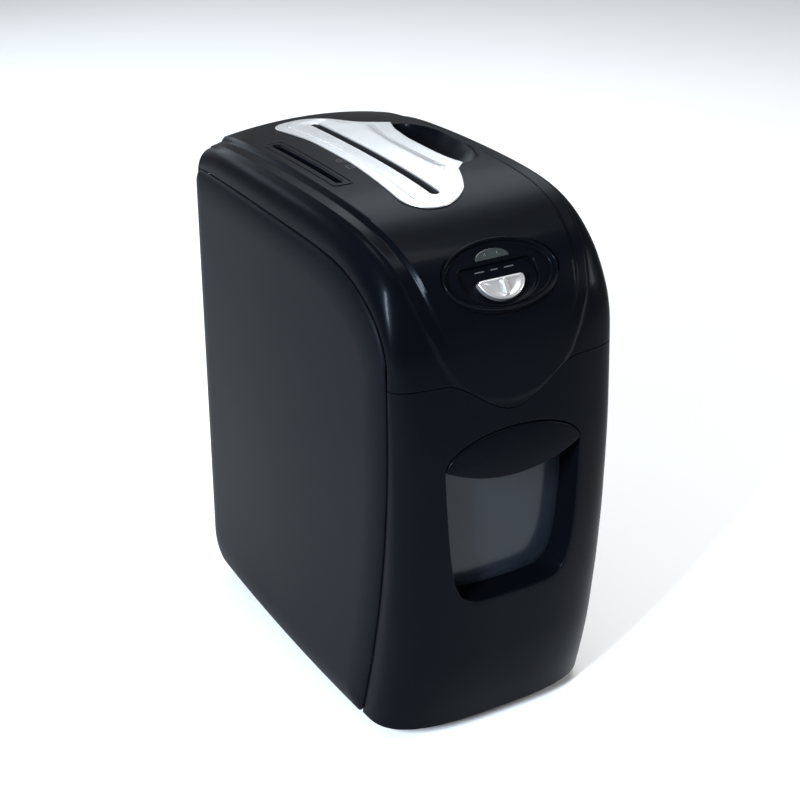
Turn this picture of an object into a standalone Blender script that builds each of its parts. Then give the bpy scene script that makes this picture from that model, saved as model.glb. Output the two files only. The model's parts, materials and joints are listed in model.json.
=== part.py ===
"""Upright office paper shredder: cutter head on top, pull-out bin below.

Metres, +Z up, the front towards -Y. The origin is at the centre of the footprint, on the floor.
Run with: blender --background --python part.py
"""

import math

import bmesh
import bpy
import numpy as np
from mathutils import Matrix, Vector

MM = 0.001

# Throat and cutters
SLOT_LENGTH = 220.0  # A4 and letter sheets are fed short side first
SLOT_WIDTH = 6.0
SLOT_X = -5.5
DISC_SLOT_LENGTH = 124.0  # a 120 mm disc and its clearance
DISC_SLOT_WIDTH = 6.0
DISC_SLOT_X = -65.0
DISC_SLOT_BACK = 39.0  # from the back end of the paper slot to that of the disc slot
DRIVE_SPACE = 41.0  # from the slot to the back of the housing
CONTROL_SPACE = 127.0  # from the slot to the front of the housing

# Housing
SEAM_HALF_WIDTH = 112.0  # half of the width at the side seams, at mid depth
WAIST_TAPER = 5.0  # how much narrower that is at the front and back
PANEL_BULGE = 7.0
PANEL_ROLL = 0.13  # share of the panel's reach over which its edge rolls round
RIDGE_HALF_WIDTH = 99.0
CREASE_INSET = 12.0
CREASE_RISE = 0.6  # of the way from the ridge to the centre line
FRONT_BOW = 32.5  # how far the front stands proud of the side seams
CROWN_HEIGHT = 472.5
SHOULDER_DROP = 32.5  # from the crown down to the side seam
APRON_SEAM = 353.0  # height of the seam between the cover and the bin front
APRON_DIP = 31.0
APRON_DIP_HALF_WIDTH = 66.0
WALL = 2.5
GAP = 0.4
FLOOR_GAP = 14.0
FOOT_RADIUS = 9.0
FOOT_X = 90.0
FOOT_CORNER = 25.0  # radius of the lower back corner
TRAY = 3.0
TRAY_CLEARANCE = 2.2
REAR_CLEARANCE = 2.2
TRIM = 1.4
SCOOP_DEPTH = 22.0
INLET_X = 70.0
INLET_Z = 70.0
VENT_LOW = 350.0
VENT_HIGH = 405.0
SCREW_RADIUS = 2.0
SCREW_INSET = 14.0
INLET_HALF = (13.5, 10.0)
INLET_DEPTH = 22.0

# Bin
TUB_HALF_WIDTH = 88.0
TUB_WALL = 2.2
TUB_BOTTOM = 27.0
TUB_TOP = 305.0
POCKET_DEPTH = 27.0
POCKET_WALL = 3.0
POCKET_HALF_WIDTH = 66.0
POCKET_BOTTOM = 148.0
VISOR_TIP = 278.0
VISOR_RISE = 28.0
VISOR_SAG = 16.0
PANE_THICKNESS = 2.0
VISOR_PROUD = 1.6
VISOR_THICKNESS = 4.2
BRACKET_INNER = 76.0
BRACKET_OUTER = 84.0

# Cutter head
HEAD_FLOOR = 330.0
PLATE = 3.0
AXIS_HEIGHT = 395.0
CENTRE_DISTANCE = 33.0
DISC_RADIUS = 20.0
DRUM_RADIUS = 12.0
DISC_THICKNESS = 5.0
DISC_PITCH = 14.0
SHAFT_RADIUS = 5.0
SYNC_TEETH = 14
DRIVE_TEETH = 30
IDLER_SMALL_TEETH = 10
IDLER_LARGE_TEETH = 30
PINION_TEETH = 10
DRIVE_PITCH_RADIUS = 22.5
IDLER_LARGE_PITCH_RADIUS = 19.5
GEAR_WIDTH = 7.0
TOOTH_RISE = 0.7  # in gear modules
TOOTH_FALL = 0.95
REDUCTION_ANGLE = -20.0  # from the cutter to the idler, then from the idler to the motor, in degrees
MOTOR_ANGLE = -15.0
ROD_RADIUS = 4.0
SHEET = 1.5
HEAD_FRONT = -107.0
MOTOR_RADIUS = 24.0
MOTOR_LENGTH = 118.0
PIN_RADIUS = 3.0
BORE_GAP = 0.3  # round every shaft, pin and rod end

# Control panel, on the slope of the cover
CONTROL_HALF_WIDTH = 55.0
CONTROL_HALF_HEIGHT = 32.0
CONTROL_RECESS = 5.0
KNOB_WIDTH = 45.0
KNOB_HEIGHT = 20.0
KNOB_TRAVEL = 11.0
KNOB_TOP = -2.0  # its flat edge, up the slope from the middle of the panel
KNOB_ROOM = 3.5  # round the knob, in its pocket
POCKET_RISE = 13.0  # how far the pocket goes on above the knob
POCKET_SINK = 4.0
STEM_HALF_WIDTH = 5.0
BEZEL_THICKNESS = 9.0

# Columns of the front's grids, as shares of the half width, close together where it turns back
FRONT_COLUMNS = (0.0, 0.13, 0.27, 0.42, 0.6, 0.8, 0.93, 0.985, 1.0)

HALF_LENGTH = (SLOT_LENGTH + DRIVE_SPACE + CONTROL_SPACE) / 2
SLOT_Y = HALF_LENGTH - DRIVE_SPACE - SLOT_LENGTH / 2
DISC_SLOT_Y = SLOT_Y + SLOT_LENGTH / 2 - DISC_SLOT_BACK - DISC_SLOT_LENGTH / 2
SHOULDER = CROWN_HEIGHT - SHOULDER_DROP
WAIST_Y = 0.086 * HALF_LENGTH
SIDE_FRONT = -HALF_LENGTH + FRONT_BOW  # where the side seams turn down
FRAME_FRONT = SLOT_Y - SLOT_LENGTH / 2 - 9
FRAME_BACK = SLOT_Y + SLOT_LENGTH / 2 + 9
LEFT_AXIS_X = SLOT_X - CENTRE_DISTANCE / 2
RIGHT_AXIS_X = SLOT_X + CENTRE_DISTANCE / 2


# Scene helpers -------------------------------------------------------------------------------


def clear_scene():
    for obj in list(bpy.data.objects):
        bpy.data.objects.remove(obj, do_unlink=True)


def new_collection(name):
    group = bpy.data.collections.new(name)
    bpy.context.scene.collection.children.link(group)
    return group


def material(name, colour, roughness, metallic=0.0, alpha=1.0):
    mat = bpy.data.materials.new(name)
    mat.use_nodes = True
    shader = mat.node_tree.nodes["Principled BSDF"]
    shader.inputs["Base Color"].default_value = (*colour, 1.0)
    shader.inputs["Roughness"].default_value = roughness
    shader.inputs["Metallic"].default_value = metallic
    shader.inputs["Alpha"].default_value = alpha
    return mat


clear_scene()
PARTS = new_collection("PaperShredder")
CUTTERS = new_collection("Cutters")

HOUSING = material("housing_black", (0.012, 0.014, 0.02), 0.32)
PANEL = material("panel_charcoal", (0.02, 0.022, 0.028), 0.55)
SILVER = material("silver_trim", (0.62, 0.62, 0.63), 0.3, 0.9)
SMOKED = material("smoked_window", (0.03, 0.035, 0.04), 0.1, alpha=0.6)
INNER = material("inner_black", (0.02, 0.02, 0.02), 0.6)
STEEL = material("cutter_steel", (0.45, 0.45, 0.47), 0.35, 1.0)
ZINC = material("zinc_plate", (0.55, 0.55, 0.56), 0.4, 0.9)
NYLON = material("gear_nylon", (0.75, 0.73, 0.66), 0.45)
RUBBER = material("foot_rubber", (0.015, 0.015, 0.015), 0.85)
BOARD = material("board_green", (0.02, 0.12, 0.05), 0.5)
LAMP = material("lamp_lens", (0.1, 0.25, 0.12), 0.2)


def add_object(name, mesh, mat):
    obj = bpy.data.objects.new(name, mesh)
    PARTS.objects.link(obj)
    if mat:
        mesh.materials.clear()
        mesh.materials.append(mat)
    return obj


def smooth_shade(obj, angle=32):
    obj.data.shade_smooth()
    obj.data.set_sharp_from_angle(angle=math.radians(angle))


def weld(obj):
    shape = bmesh.new()
    shape.from_mesh(obj.data)
    bmesh.ops.remove_doubles(shape, verts=shape.verts, dist=0.01 * MM)
    shape.to_mesh(obj.data)
    shape.free()


def hide_as_cutter(obj):
    for group in list(obj.users_collection):
        group.objects.unlink(obj)
    CUTTERS.objects.link(obj)
    obj.hide_render = True
    obj.display_type = "WIRE"
    return obj


def boolean(obj, other, operation):
    hide_as_cutter(other)
    step = obj.modifiers.new(f"{operation.lower()}_{other.name}"[:60], "BOOLEAN")
    step.operation = operation
    step.solver = "EXACT"
    step.object = other
    return obj


def box(name, low, high, mat=None):
    """A box between two corners, in millimetres."""
    low = Vector(low) * MM
    high = Vector(high) * MM
    mesh = bpy.data.meshes.new(name)
    shape = bmesh.new()
    bmesh.ops.create_cube(shape, size=1.0, matrix=Matrix.Diagonal((*(high - low), 1.0)))
    shape.to_mesh(mesh)
    shape.free()
    obj = add_object(name, mesh, mat)
    obj.location = (low + high) / 2
    return obj


def turned(name, profile, centre, mat, steps=20, upright=False):
    """A profile of (radius, along) in millimetres, turned about Y or, upright, about Z."""
    mesh = bpy.data.meshes.new(name)
    points = [(r * MM, 0.0, along * MM) for r, along in profile]
    mesh.from_pydata(points, [(i, i + 1) for i in range(len(points) - 1)], [])
    obj = add_object(name, mesh, mat)
    obj.location = Vector(centre) * MM
    if not upright:
        obj.rotation_euler = (-math.pi / 2, 0.0, 0.0)
    turn = obj.modifiers.new("turn", "SCREW")
    turn.steps = steps
    turn.render_steps = steps
    turn.use_smooth_shade = True
    turn.use_merge_vertices = True
    turn.merge_threshold = 0.00001
    return obj


def flat(name, outlines, thickness, matrix, mat=None):
    """Closed outlines in millimetres, the first one filled and the others holes, as a mesh plate."""
    curve = bpy.data.curves.new(name + "_outline", "CURVE")
    curve.dimensions = "2D"
    curve.fill_mode = "BOTH"
    curve.extrude = thickness / 2 * MM
    for outline in outlines:
        spline = curve.splines.new("POLY")
        spline.points.add(len(outline) - 1)
        for point, (x, y) in zip(spline.points, outline):
            point.co = (x * MM, y * MM, 0.0, 1.0)
        spline.use_cyclic_u = True
    source = bpy.data.objects.new(name + "_outline", curve)
    CUTTERS.objects.link(source)
    source.matrix_world = matrix
    bpy.context.view_layer.update()
    graph = bpy.context.evaluated_depsgraph_get()
    mesh = bpy.data.meshes.new_from_object(source.evaluated_get(graph))
    shape = bmesh.new()
    shape.from_mesh(mesh)
    bmesh.ops.remove_doubles(shape, verts=shape.verts, dist=0.000002)
    bmesh.ops.recalc_face_normals(shape, faces=shape.faces)
    shape.to_mesh(mesh)
    shape.free()
    mesh.name = name
    obj = add_object(name, mesh, mat)
    obj.matrix_world = source.matrix_world.copy()
    bpy.data.objects.remove(source, do_unlink=True)
    return obj


def facing_front(y, x=0.0, z=0.0):
    """Local X is +X, local Y is +Z: an outline seen from the front, centred on this Y."""
    return Matrix.Translation(Vector((x, y, z)) * MM) @ Matrix.Rotation(math.pi / 2, 4, "X")


def facing_up(z):
    return Matrix.Translation((0.0, 0.0, z * MM))


# Outlines ------------------------------------------------------------------------------------


def arc(centre, radii, start, end, steps):
    """Points along an elliptical arc, angles in degrees."""
    angles = np.radians(np.linspace(start, end, steps))
    return [(centre[0] + radii[0] * math.cos(a), centre[1] + radii[1] * math.sin(a)) for a in angles]


def rounded(low, high, radius, steps=4):
    """A rectangle with round corners, anticlockwise."""
    (x0, y0), (x1, y1) = low, high
    corners = ((x1, y0, -90), (x1, y1, 0), (x0, y1, 90), (x0, y0, 180))
    outline = []
    for x, y, start in corners:
        centre = (x - math.copysign(radius, x - (x0 + x1) / 2), y - math.copysign(radius, y - (y0 + y1) / 2))
        outline += arc(centre, (radius, radius), start, start + 90, steps)
    return outline


def circle(centre, radius, steps=20):
    return arc(centre, (radius, radius), 0, 360 - 360 / steps, steps)


def inset(outline, distance):
    """The outline moved inwards by a distance along its corners' normals. Anticlockwise only."""
    points = np.array(outline)
    ahead = np.roll(points, -1, axis=0) - points
    ahead /= np.linalg.norm(ahead, axis=1)[:, None]
    behind = np.roll(ahead, 1, axis=0)
    inward = np.stack([-(ahead + behind)[:, 1], (ahead + behind)[:, 0]], axis=1)
    inward /= np.linalg.norm(inward, axis=1)[:, None]
    side = np.stack([-ahead[:, 1], ahead[:, 0]], axis=1)
    reach = distance / np.maximum((inward * side).sum(axis=1), 0.5)
    return [tuple(point) for point in points + inward * reach[:, None]]


# Housing surfaces ----------------------------------------------------------------------------
# Guide points are (depth as a share of the half length, drop below the crown in millimetres). The
# ridge's start with their offset from RIDGE_HALF_WIDTH.


def seam_half_width(y):
    return SEAM_HALF_WIDTH - WAIST_TAPER * ((y - WAIST_Y) / (HALF_LENGTH - WAIST_Y)) ** 2


def apron_seam(x):
    """Height of the seam across the front: level at the sides, with a round dip in the middle."""
    share = np.clip(np.abs(x) / APRON_DIP_HALF_WIDTH, 0, 1)
    return APRON_SEAM - APRON_DIP * (1 + np.cos(math.pi * share)) / 2


def front_edge(z):
    """Y of the side seam at the front, at this height: a shallow bow that draws back at the foot."""
    heights = (0.0, 20.0, 77.0, 136.0, 191.0, 252.0, 299.0, 326.0, APRON_SEAM)
    depths = (46.0, 41.0, 26.0, 14.0, 6.0, 1.0, 0.0, 0.5, 1.5)
    return SIDE_FRONT - 2 + np.interp(z, heights, depths)


def front_centre(z):
    """Y of the front on the centre plane, at this height."""
    heights = (0.0, 14.0, 45.0, 80.0, 148.0, 200.0, 283.0, 322.0, APRON_SEAM)
    depths = (22.0, 19.0, 11.0, 5.0, 0.0, 0.0, 3.0, 8.5, 13.0)
    return -HALF_LENGTH + np.interp(z, heights, depths)


def front_surface(x, z):
    """Y of the front: in plan it is a superellipse of power 3 between the side seams."""
    edge = front_edge(z)
    share = np.clip(np.abs(x) / seam_half_width(edge), 0, 1)
    return edge - (edge - front_centre(z)) * (1 - share**3) ** (1 / 3)


def grid_mesh(name, points):
    """A sheet over a grid of points (rows, columns, 3) in millimetres."""
    rows, columns, _ = points.shape
    index = np.arange(rows * columns).reshape(rows, columns)
    quads = np.stack([index[:-1, :-1], index[:-1, 1:], index[1:, 1:], index[1:, :-1]], axis=-1)
    mesh = bpy.data.meshes.new(name)
    mesh.from_pydata((points.reshape(-1, 3) * MM).tolist(), [], quads.reshape(-1, 4).tolist())
    return mesh


def grid_normals(points):
    along = np.gradient(points, axis=0)
    across = np.gradient(points, axis=1)
    normal = np.cross(across, along)
    return normal / np.maximum(np.linalg.norm(normal, axis=2), 1e-9)[:, :, None]


def shell(name, points, thickness, mat=None, offset=0.0):
    """The grid, moved out along its normals by the offset and thickened inwards."""
    obj = add_object(name, grid_mesh(name, points + grid_normals(points) * offset), mat)
    thicken = obj.modifiers.new("wall", "SOLIDIFY")
    thicken.thickness = thickness * MM
    thicken.offset = -1.0
    return obj


def mirrored(half):
    """A grid whose columns run from the centre plane outwards, continued on the other side."""
    other = half[:, :0:-1] * np.array([-1.0, 1.0, 1.0])
    return np.concatenate([other, half], axis=1)


def cover_guides():
    """Side seam, ridge, crease and centre line of the cover, from the back to the front, on the +X side."""
    side = (
        (1.0, 47.5), (0.98, 41.0), (0.81, 36.5), (0.49, 33.5), (0.19, 32.5), (-0.22, 32.5),
        (-0.42, 34.5), (-0.555, 41.5), (-0.665, 52.5), (-0.757, 66.0), (-0.813, 83.0), (-0.833, 98.0),
    )
    ridge = (
        (-11.0, 1.0, 47.5), (-11.0, 0.99, 23.5), (-2.0, 0.81, 11.0), (0.0, 0.49, 8.0),
        (0.5, 0.19, 5.0), (0.0, -0.22, 4.0), (-1.5, -0.42, 7.0), (-5.3, -0.584, 13.5),
        (-10.3, -0.716, 27.0), (-14.0, -0.813, 44.0), (-19.0, -0.884, 68.0), (-33.0, -0.929, 88.0),
    )
    centre = (
        (1.0, 47.5), (0.99, 9.0), (0.81, 4.0), (0.49, 1.5), (0.19, 0.0), (-0.22, 0.5),
        (-0.432, 4.5), (-0.604, 12.0), (-0.736, 24.5), (-0.828, 40.5), (-0.899, 66.0), (-0.929, 92.0),
    )
    side = np.array([(share * HALF_LENGTH, CROWN_HEIGHT - drop) for share, drop in side])
    centre = np.array([(share * HALF_LENGTH, CROWN_HEIGHT - drop) for share, drop in centre])
    ridge = np.array(
        [(RIDGE_HALF_WIDTH + dx, share * HALF_LENGTH, CROWN_HEIGHT - drop) for dx, share, drop in ridge]
    )
    return side, ridge, centre


def cover_row(side, ridge, centre):
    """One section of the cover: flat crown, a short ogee down to the ridge, then a round shoulder."""
    half = seam_half_width(side[0])
    edge = np.array([half, side[0], side[1]])
    middle = np.array([0.0, centre[0], centre[1]])
    crease_share = max(0.0, 1 - CREASE_INSET / ridge[0])
    rise = CREASE_RISE * (middle - ridge)[1:]
    crease = np.array([ridge[0] * crease_share, ridge[1] + rise[0], ridge[2] + rise[1]])
    row = []
    for u in (0.0, 0.5, 1.0):
        row.append(np.array([crease[0] * u, *(middle[1:] + (crease - middle)[1:] * u**2)]))
    for angle in (0, 20, 40, 60, 75, 90):
        turn = math.radians(angle)
        step = np.array([math.sin(turn), 1 - math.cos(turn), 1 - math.cos(turn)])
        row.append(ridge + (edge - ridge) * step)
    return row


def cover_grid():
    side, ridge, centre = cover_guides()
    rows = [cover_row(*station) for station in zip(side, ridge, centre)]
    edge = float(front_edge(APRON_SEAM))
    for lift in (8.0, GAP):
        row = []
        for share in FRONT_COLUMNS:
            x = share * float(seam_half_width(edge))
            z = float(apron_seam(x)) + lift
            row.append(np.array([x, front_surface(x, min(z, APRON_SEAM)), z]))
        rows.append(row)
    return mirrored(np.array(rows, float))


def front_grid(z_low, columns, clearance, half_width=None):
    """The bin front's sheet. Its rows run up from z_low to the seam, and its columns across."""
    rows = []
    for lift in (0.0, 0.08, 0.2, 0.35, 0.5, 0.65, 0.8, 0.92, 1.0):
        row = []
        for column in columns:
            edge_z = z_low + (APRON_SEAM - z_low) * lift
            wide = half_width or float(seam_half_width(front_edge(edge_z)))
            x = wide * column
            z = z_low + (apron_seam(x) - clearance - z_low) * lift
            row.append(np.array([x, front_surface(x, z), z]))
        rows.append(row)
    return mirrored(np.array(rows))


def panel_x(y, share):
    """Half width of a side panel where its outline is shrunk to this share about its middle."""
    roll = np.clip((1 - share) / PANEL_ROLL, 0, 1)
    return seam_half_width(y) + PANEL_BULGE * np.sqrt(1 - (1 - roll) ** 2)


def panel_outline():
    """The side panel in (y, z), anticlockwise from its front foot."""
    side, _, _ = cover_guides()
    foot = [(float(front_edge(FLOOR_GAP)) + 8, FLOOR_GAP)]
    bottom = [(share * HALF_LENGTH, FLOOR_GAP) for share in (-0.2, 0.2, 0.55)]
    centre = (HALF_LENGTH - FOOT_CORNER, FLOOR_GAP + FOOT_CORNER)
    corner = arc(centre, (FOOT_CORNER, FOOT_CORNER), -90, 0, 4)
    back = [(HALF_LENGTH, float(z)) for z in np.linspace(FLOOR_GAP + 2 * FOOT_CORNER, SHOULDER - 60, 4)]
    top = [(y, z - GAP) for y, z in side]
    heights = np.linspace(APRON_SEAM - 4, FLOOR_GAP + 8, 8)
    front = [(float(front_edge(z)) + GAP, float(z)) for z in heights]
    return foot + bottom + corner + back + top + front


def panel_grid(sign):
    """Rings of the outline shrunk about its middle, so the sheet is a shallow pillow."""
    outline = np.array(panel_outline())
    outline = np.vstack([outline, outline[:1]])
    middle = np.array([WAIST_Y, (FLOOR_GAP + SHOULDER) / 2])
    rows = []
    for share in (1.0, 0.988, 0.965, 0.93, 0.87, 0.5):
        ring = middle + (outline - middle) * share
        rows.append(np.column_stack([sign * panel_x(ring[:, 0], share), ring]))
    rows.append(np.tile([sign * float(panel_x(WAIST_Y, 0.0)), *middle], (len(outline), 1)))
    return np.array(rows)


# Outlines of the openings and of what sits in them --------------------------------------------


def throat_outline():
    """The silver plate round the slot: straight on the left, swept in round the finger scoop."""
    reach = SLOT_LENGTH / 2
    back = ((-38, 8), (-30, 18), (-5, 22), (19, 11), (25, -1), (36, -18))  # from the slot's back end
    swept = ((62, 76), (54, 54), (49, 20), (49, -20), (51, -45), (56, -62), (45, -73))
    front = ((37, 20), (27, -2), (11, -16), (-6, -24), (-24, -20), (-35, -5))  # from its front end
    left = ((-32, -75), (-29, -20), (-29, 60))
    points = [(x, reach + y) for x, y in back] + list(swept) + [(x, y - reach) for x, y in front] + list(left)
    return [(SLOT_X + x, SLOT_Y + y) for x, y in points[::-1]]


def scoop_outline():
    """The finger scoop, from the swept edge of the plate to a round outer edge."""
    points = (
        (54, -45), (76, -50), (86, -32), (90, -5), (88, 32),
        (80, 57), (65, 70), (57, 50), (52, 20), (52, -20),
    )
    return [(SLOT_X + x, SLOT_Y + y) for x, y in points]


def slot_outline(x, y, width, length):
    return rounded((x - width / 2, y - length / 2), (x + width / 2, y + length / 2), width / 2 - 0.2)


def visor_outline():
    """The lens-shaped hood over the bin's hand recess, seen from the front."""
    top = arc((0, VISOR_TIP), (POCKET_HALF_WIDTH, VISOR_RISE), 0, 180, 13)
    share = np.linspace(-1, 1, 9)[1:-1]
    sag = [(POCKET_HALF_WIDTH * s, VISOR_TIP - VISOR_SAG * (1 - s * s)) for s in share]
    return top + sag


def pocket_outline():
    """The hood's outline above, and below it the recess, which narrows to its round bottom corners."""
    top = arc((0, VISOR_TIP), (POCKET_HALF_WIDTH, VISOR_RISE), 0, 180, 13)
    foot = POCKET_HALF_WIDTH - 8
    left = arc((-foot + 15, POCKET_BOTTOM + 17), (15, 15), 180, 260, 4)
    right = arc((foot - 15, POCKET_BOTTOM + 17), (15, 15), 280, 360, 4)
    return top + left + [(0.0, POCKET_BOTTOM)] + right


def knob_outline(width, height):
    """A half moon, flat side up, seen square to the control panel."""
    return arc((0, KNOB_TOP), (width / 2, height), 180, 360, 13)


def gear_outline(teeth, pitch_radius, phase):
    """Teeth with straight flanks, thinned a little so that meshed gears turn freely."""
    pitch = 2 * math.pi / teeth
    unit = 2 * pitch_radius / teeth
    tip = pitch_radius + TOOTH_RISE * unit
    root = pitch_radius - TOOTH_FALL * unit
    outline = []
    for tooth in range(teeth):
        middle = phase + tooth * pitch
        corners = ((root, -0.27), (tip, -0.1), (tip, 0.1), (root, 0.27))
        outline += [(r * math.cos(middle + s * pitch), r * math.sin(middle + s * pitch)) for r, s in corners]
    return outline


# Housing pieces --------------------------------------------------------------------------------


def control_frame(height):
    """Local X is +X, local Y runs up the slope of the cover and local Z points out of it."""
    origin = Vector((0.0, -0.825 * HALF_LENGTH, CROWN_HEIGHT - 41.0)) * MM
    tilt = Matrix.Rotation(math.radians(45), 4, "X")
    return Matrix.Translation(origin) @ tilt @ Matrix.Translation((0.0, 0.0, height * MM))


def control_plate(name, outlines, low, high, mat=None):
    return flat(name, outlines, high - low, control_frame((low + high) / 2), mat)


def ellipse(half_width, half_height):
    return arc((0, 0), (half_width, half_height), 0, 348.75, 32)


def through_crown(name, outline):
    """A prism that passes right through the top of the cover."""
    return flat(name, [outline], 80, facing_up(CROWN_HEIGHT))


def through_front(name, outline):
    """A prism that passes right through the bin front."""
    return flat(name, [outline], 90, facing_front(front_centre(POCKET_BOTTOM) + 20))


def outward(points, middle):
    """The grid with its columns reversed if its normals point towards the middle."""
    facing = (grid_normals(points) * (points - np.array(middle))).sum()
    return points if facing > 0 else points[:, ::-1]


def body_sheet(points):
    return outward(points, (0.0, 0.0, 200.0))


def side_panel(name, sign):
    obj = add_object(name, grid_mesh(name, body_sheet(panel_grid(sign))), PANEL)
    weld(obj)
    thicken = obj.modifiers.new("wall", "SOLIDIFY")
    thicken.thickness = WALL * MM
    thicken.offset = -1.0
    smooth_shade(obj)


def top_cover():
    cover = shell("top_cover", body_sheet(cover_grid()), WALL, HOUSING)
    slot = slot_outline(SLOT_X, SLOT_Y, SLOT_WIDTH + 2, SLOT_LENGTH + 2)
    disc_slot = slot_outline(DISC_SLOT_X, DISC_SLOT_Y, DISC_SLOT_WIDTH + 2, DISC_SLOT_LENGTH + 2)
    boolean(cover, through_crown("slot_cut", slot), "DIFFERENCE")
    boolean(cover, through_crown("disc_slot_cut", disc_slot), "DIFFERENCE")
    boolean(cover, through_crown("scoop_cut", scoop_outline()), "DIFFERENCE")
    opening = ellipse(CONTROL_HALF_WIDTH + GAP, CONTROL_HALF_HEIGHT + GAP)
    boolean(cover, control_plate("control_cut", [opening], -20, 20), "DIFFERENCE")
    smooth_shade(cover)


def crown_sheet():
    """The nearly flat middle of the cover, inside its creases."""
    grid = cover_grid()
    middle = grid.shape[1] // 2
    return body_sheet(grid[1:9, middle - 2 : middle + 3])


def throat_plate():
    plate = shell("throat_plate", crown_sheet(), TRIM, SILVER, offset=GAP + TRIM)
    boolean(plate, through_crown("throat_shape", throat_outline()), "INTERSECT")
    slot = slot_outline(SLOT_X, SLOT_Y, SLOT_WIDTH, SLOT_LENGTH)
    boolean(plate, through_crown("throat_slot", slot), "DIFFERENCE")
    smooth_shade(plate)


def disc_bezel():
    bezel = shell("disc_bezel", crown_sheet(), TRIM, INNER, offset=GAP + TRIM)
    outer = slot_outline(DISC_SLOT_X, DISC_SLOT_Y, 20, DISC_SLOT_LENGTH + 15)
    inner = slot_outline(DISC_SLOT_X, DISC_SLOT_Y, DISC_SLOT_WIDTH, DISC_SLOT_LENGTH)
    boolean(bezel, through_crown("disc_bezel_shape", outer), "INTERSECT")
    boolean(bezel, through_crown("disc_bezel_slot", inner), "DIFFERENCE")
    smooth_shade(bezel)


def finger_scoop():
    scoop = shell("finger_scoop", crown_sheet(), SCOOP_DEPTH + 4, HOUSING)
    boolean(scoop, through_crown("scoop_shape", inset(scoop_outline(), GAP)), "INTERSECT")
    mesh = bpy.data.meshes.new("scoop_hollow")
    shape = bmesh.new()
    radii = Vector((17, 52, SCOOP_DEPTH + 6)) * MM
    stretch = Matrix.Diagonal((*radii, 1.0))
    bmesh.ops.create_uvsphere(shape, u_segments=20, v_segments=12, radius=1.0, matrix=stretch)
    shape.to_mesh(mesh)
    shape.free()
    hollow = add_object("scoop_hollow", mesh, None)
    hollow.location = Vector((SLOT_X + 71, SLOT_Y + 7, CROWN_HEIGHT + 6)) * MM
    boolean(scoop, hollow, "DIFFERENCE")
    smooth_shade(scoop)


def rear_panel():
    """A flat back whose foot curves forward, with the inlet's cut-out, screw holes and vents."""
    centre_z = FLOOR_GAP + FOOT_CORNER
    side, _, _ = cover_guides()
    top = side[0][1] - 3 * GAP
    curve = arc((HALF_LENGTH - FOOT_CORNER, centre_z), (FOOT_CORNER, FOOT_CORNER), 0, -90, 6)
    profile = [(HALF_LENGTH, top), (HALF_LENGTH, (top + centre_z) / 2), *curve]
    rows = []
    for y, z in profile:
        reach = seam_half_width(y) - REAR_CLEARANCE
        rows.append([(share * reach, y, z) for share in (-1, -0.5, 0, 0.5, 1)])
    panel = shell("rear_panel", body_sheet(np.array(rows, float)), WALL, HOUSING)
    half_x = INLET_HALF[0] + 0.5
    half_z = INLET_HALF[1] + 0.5
    inlet = rounded((INLET_X - half_x, INLET_Z - half_z), (INLET_X + half_x, INLET_Z + half_z), 0.5, 2)
    boolean(panel, flat("inlet_cut", [inlet], 20, facing_front(HALF_LENGTH)), "DIFFERENCE")
    for index, z in enumerate(np.linspace(VENT_LOW, VENT_HIGH, 6)):
        vent = rounded((-50, z - 2), (50, z + 2), 1.8, 3)
        boolean(panel, flat(f"vent_cut_{index}", [vent], 20, facing_front(HALF_LENGTH)), "DIFFERENCE")
    for index, (x, z) in enumerate(rear_screw_places()):
        hole = circle((x, z), SCREW_RADIUS + GAP, 12)
        boolean(panel, flat(f"screw_cut_{index}", [hole], 20, facing_front(HALF_LENGTH)), "DIFFERENCE")
    smooth_shade(panel)


def rear_screw_places():
    reach = seam_half_width(HALF_LENGTH) - SCREW_INSET
    return [(x, z) for z in (FLOOR_GAP + 55, HEAD_FLOOR + 70) for x in (-reach, reach)]


def rear_screws():
    for index, (x, z) in enumerate(rear_screw_places()):
        profile = [(0, 0), (SCREW_RADIUS, 0), (SCREW_RADIUS, -8), (0, -8)]
        screw = turned(f"rear_screw_{index + 1}", profile, (x, HALF_LENGTH, z), ZINC, 12)
        smooth_shade(screw)


def power_inlet():
    """A two-pin mains inlet in the back: a body with an open socket and two pins."""
    half_x, half_z = INLET_HALF
    low = (INLET_X - half_x, HALF_LENGTH - INLET_DEPTH, INLET_Z - half_z)
    high = (INLET_X + half_x, HALF_LENGTH - 0.2, INLET_Z + half_z)
    body = box("power_inlet", low, high, INNER)
    low = (INLET_X - 9, HALF_LENGTH - 15, INLET_Z - 5.5)
    high = (INLET_X + 9, HALF_LENGTH + 5, INLET_Z + 5.5)
    boolean(body, box("inlet_socket", low, high), "DIFFERENCE")
    for name, x in (("inlet_pin_left", INLET_X - 4.3), ("inlet_pin_right", INLET_X + 4.3)):
        low = (x - 1.2, HALF_LENGTH - 17, INLET_Z - 1.2)
        high = (x + 1.2, HALF_LENGTH - 5, INLET_Z + 1.2)
        boolean(body, box(name, low, high), "UNION")


def base_tray():
    """The floor of the housing, inside the side panels and the bin front."""
    back = HALF_LENGTH - FOOT_CORNER - GAP
    start = front_edge(FLOOR_GAP) + 4
    sides = np.linspace(start, back, 7)
    right = [(float(seam_half_width(y)) - TRAY_CLEARANCE, float(y)) for y in sides]
    reach = float(seam_half_width(start)) - 9
    shares = (-0.98, -0.9, -0.7, -0.4, 0, 0.4, 0.7, 0.9, 0.98)
    nose = [(reach * s, start - 4 - 27 * (1 - abs(s) ** 3) ** (1 / 3)) for s in shares]
    left = [(-x, y) for x, y in right[::-1]]
    outline = nose + right + left
    tray = flat("base_tray", [outline], TRAY, facing_up(FLOOR_GAP + TRAY / 2), INNER)
    smooth_shade(tray)


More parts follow.
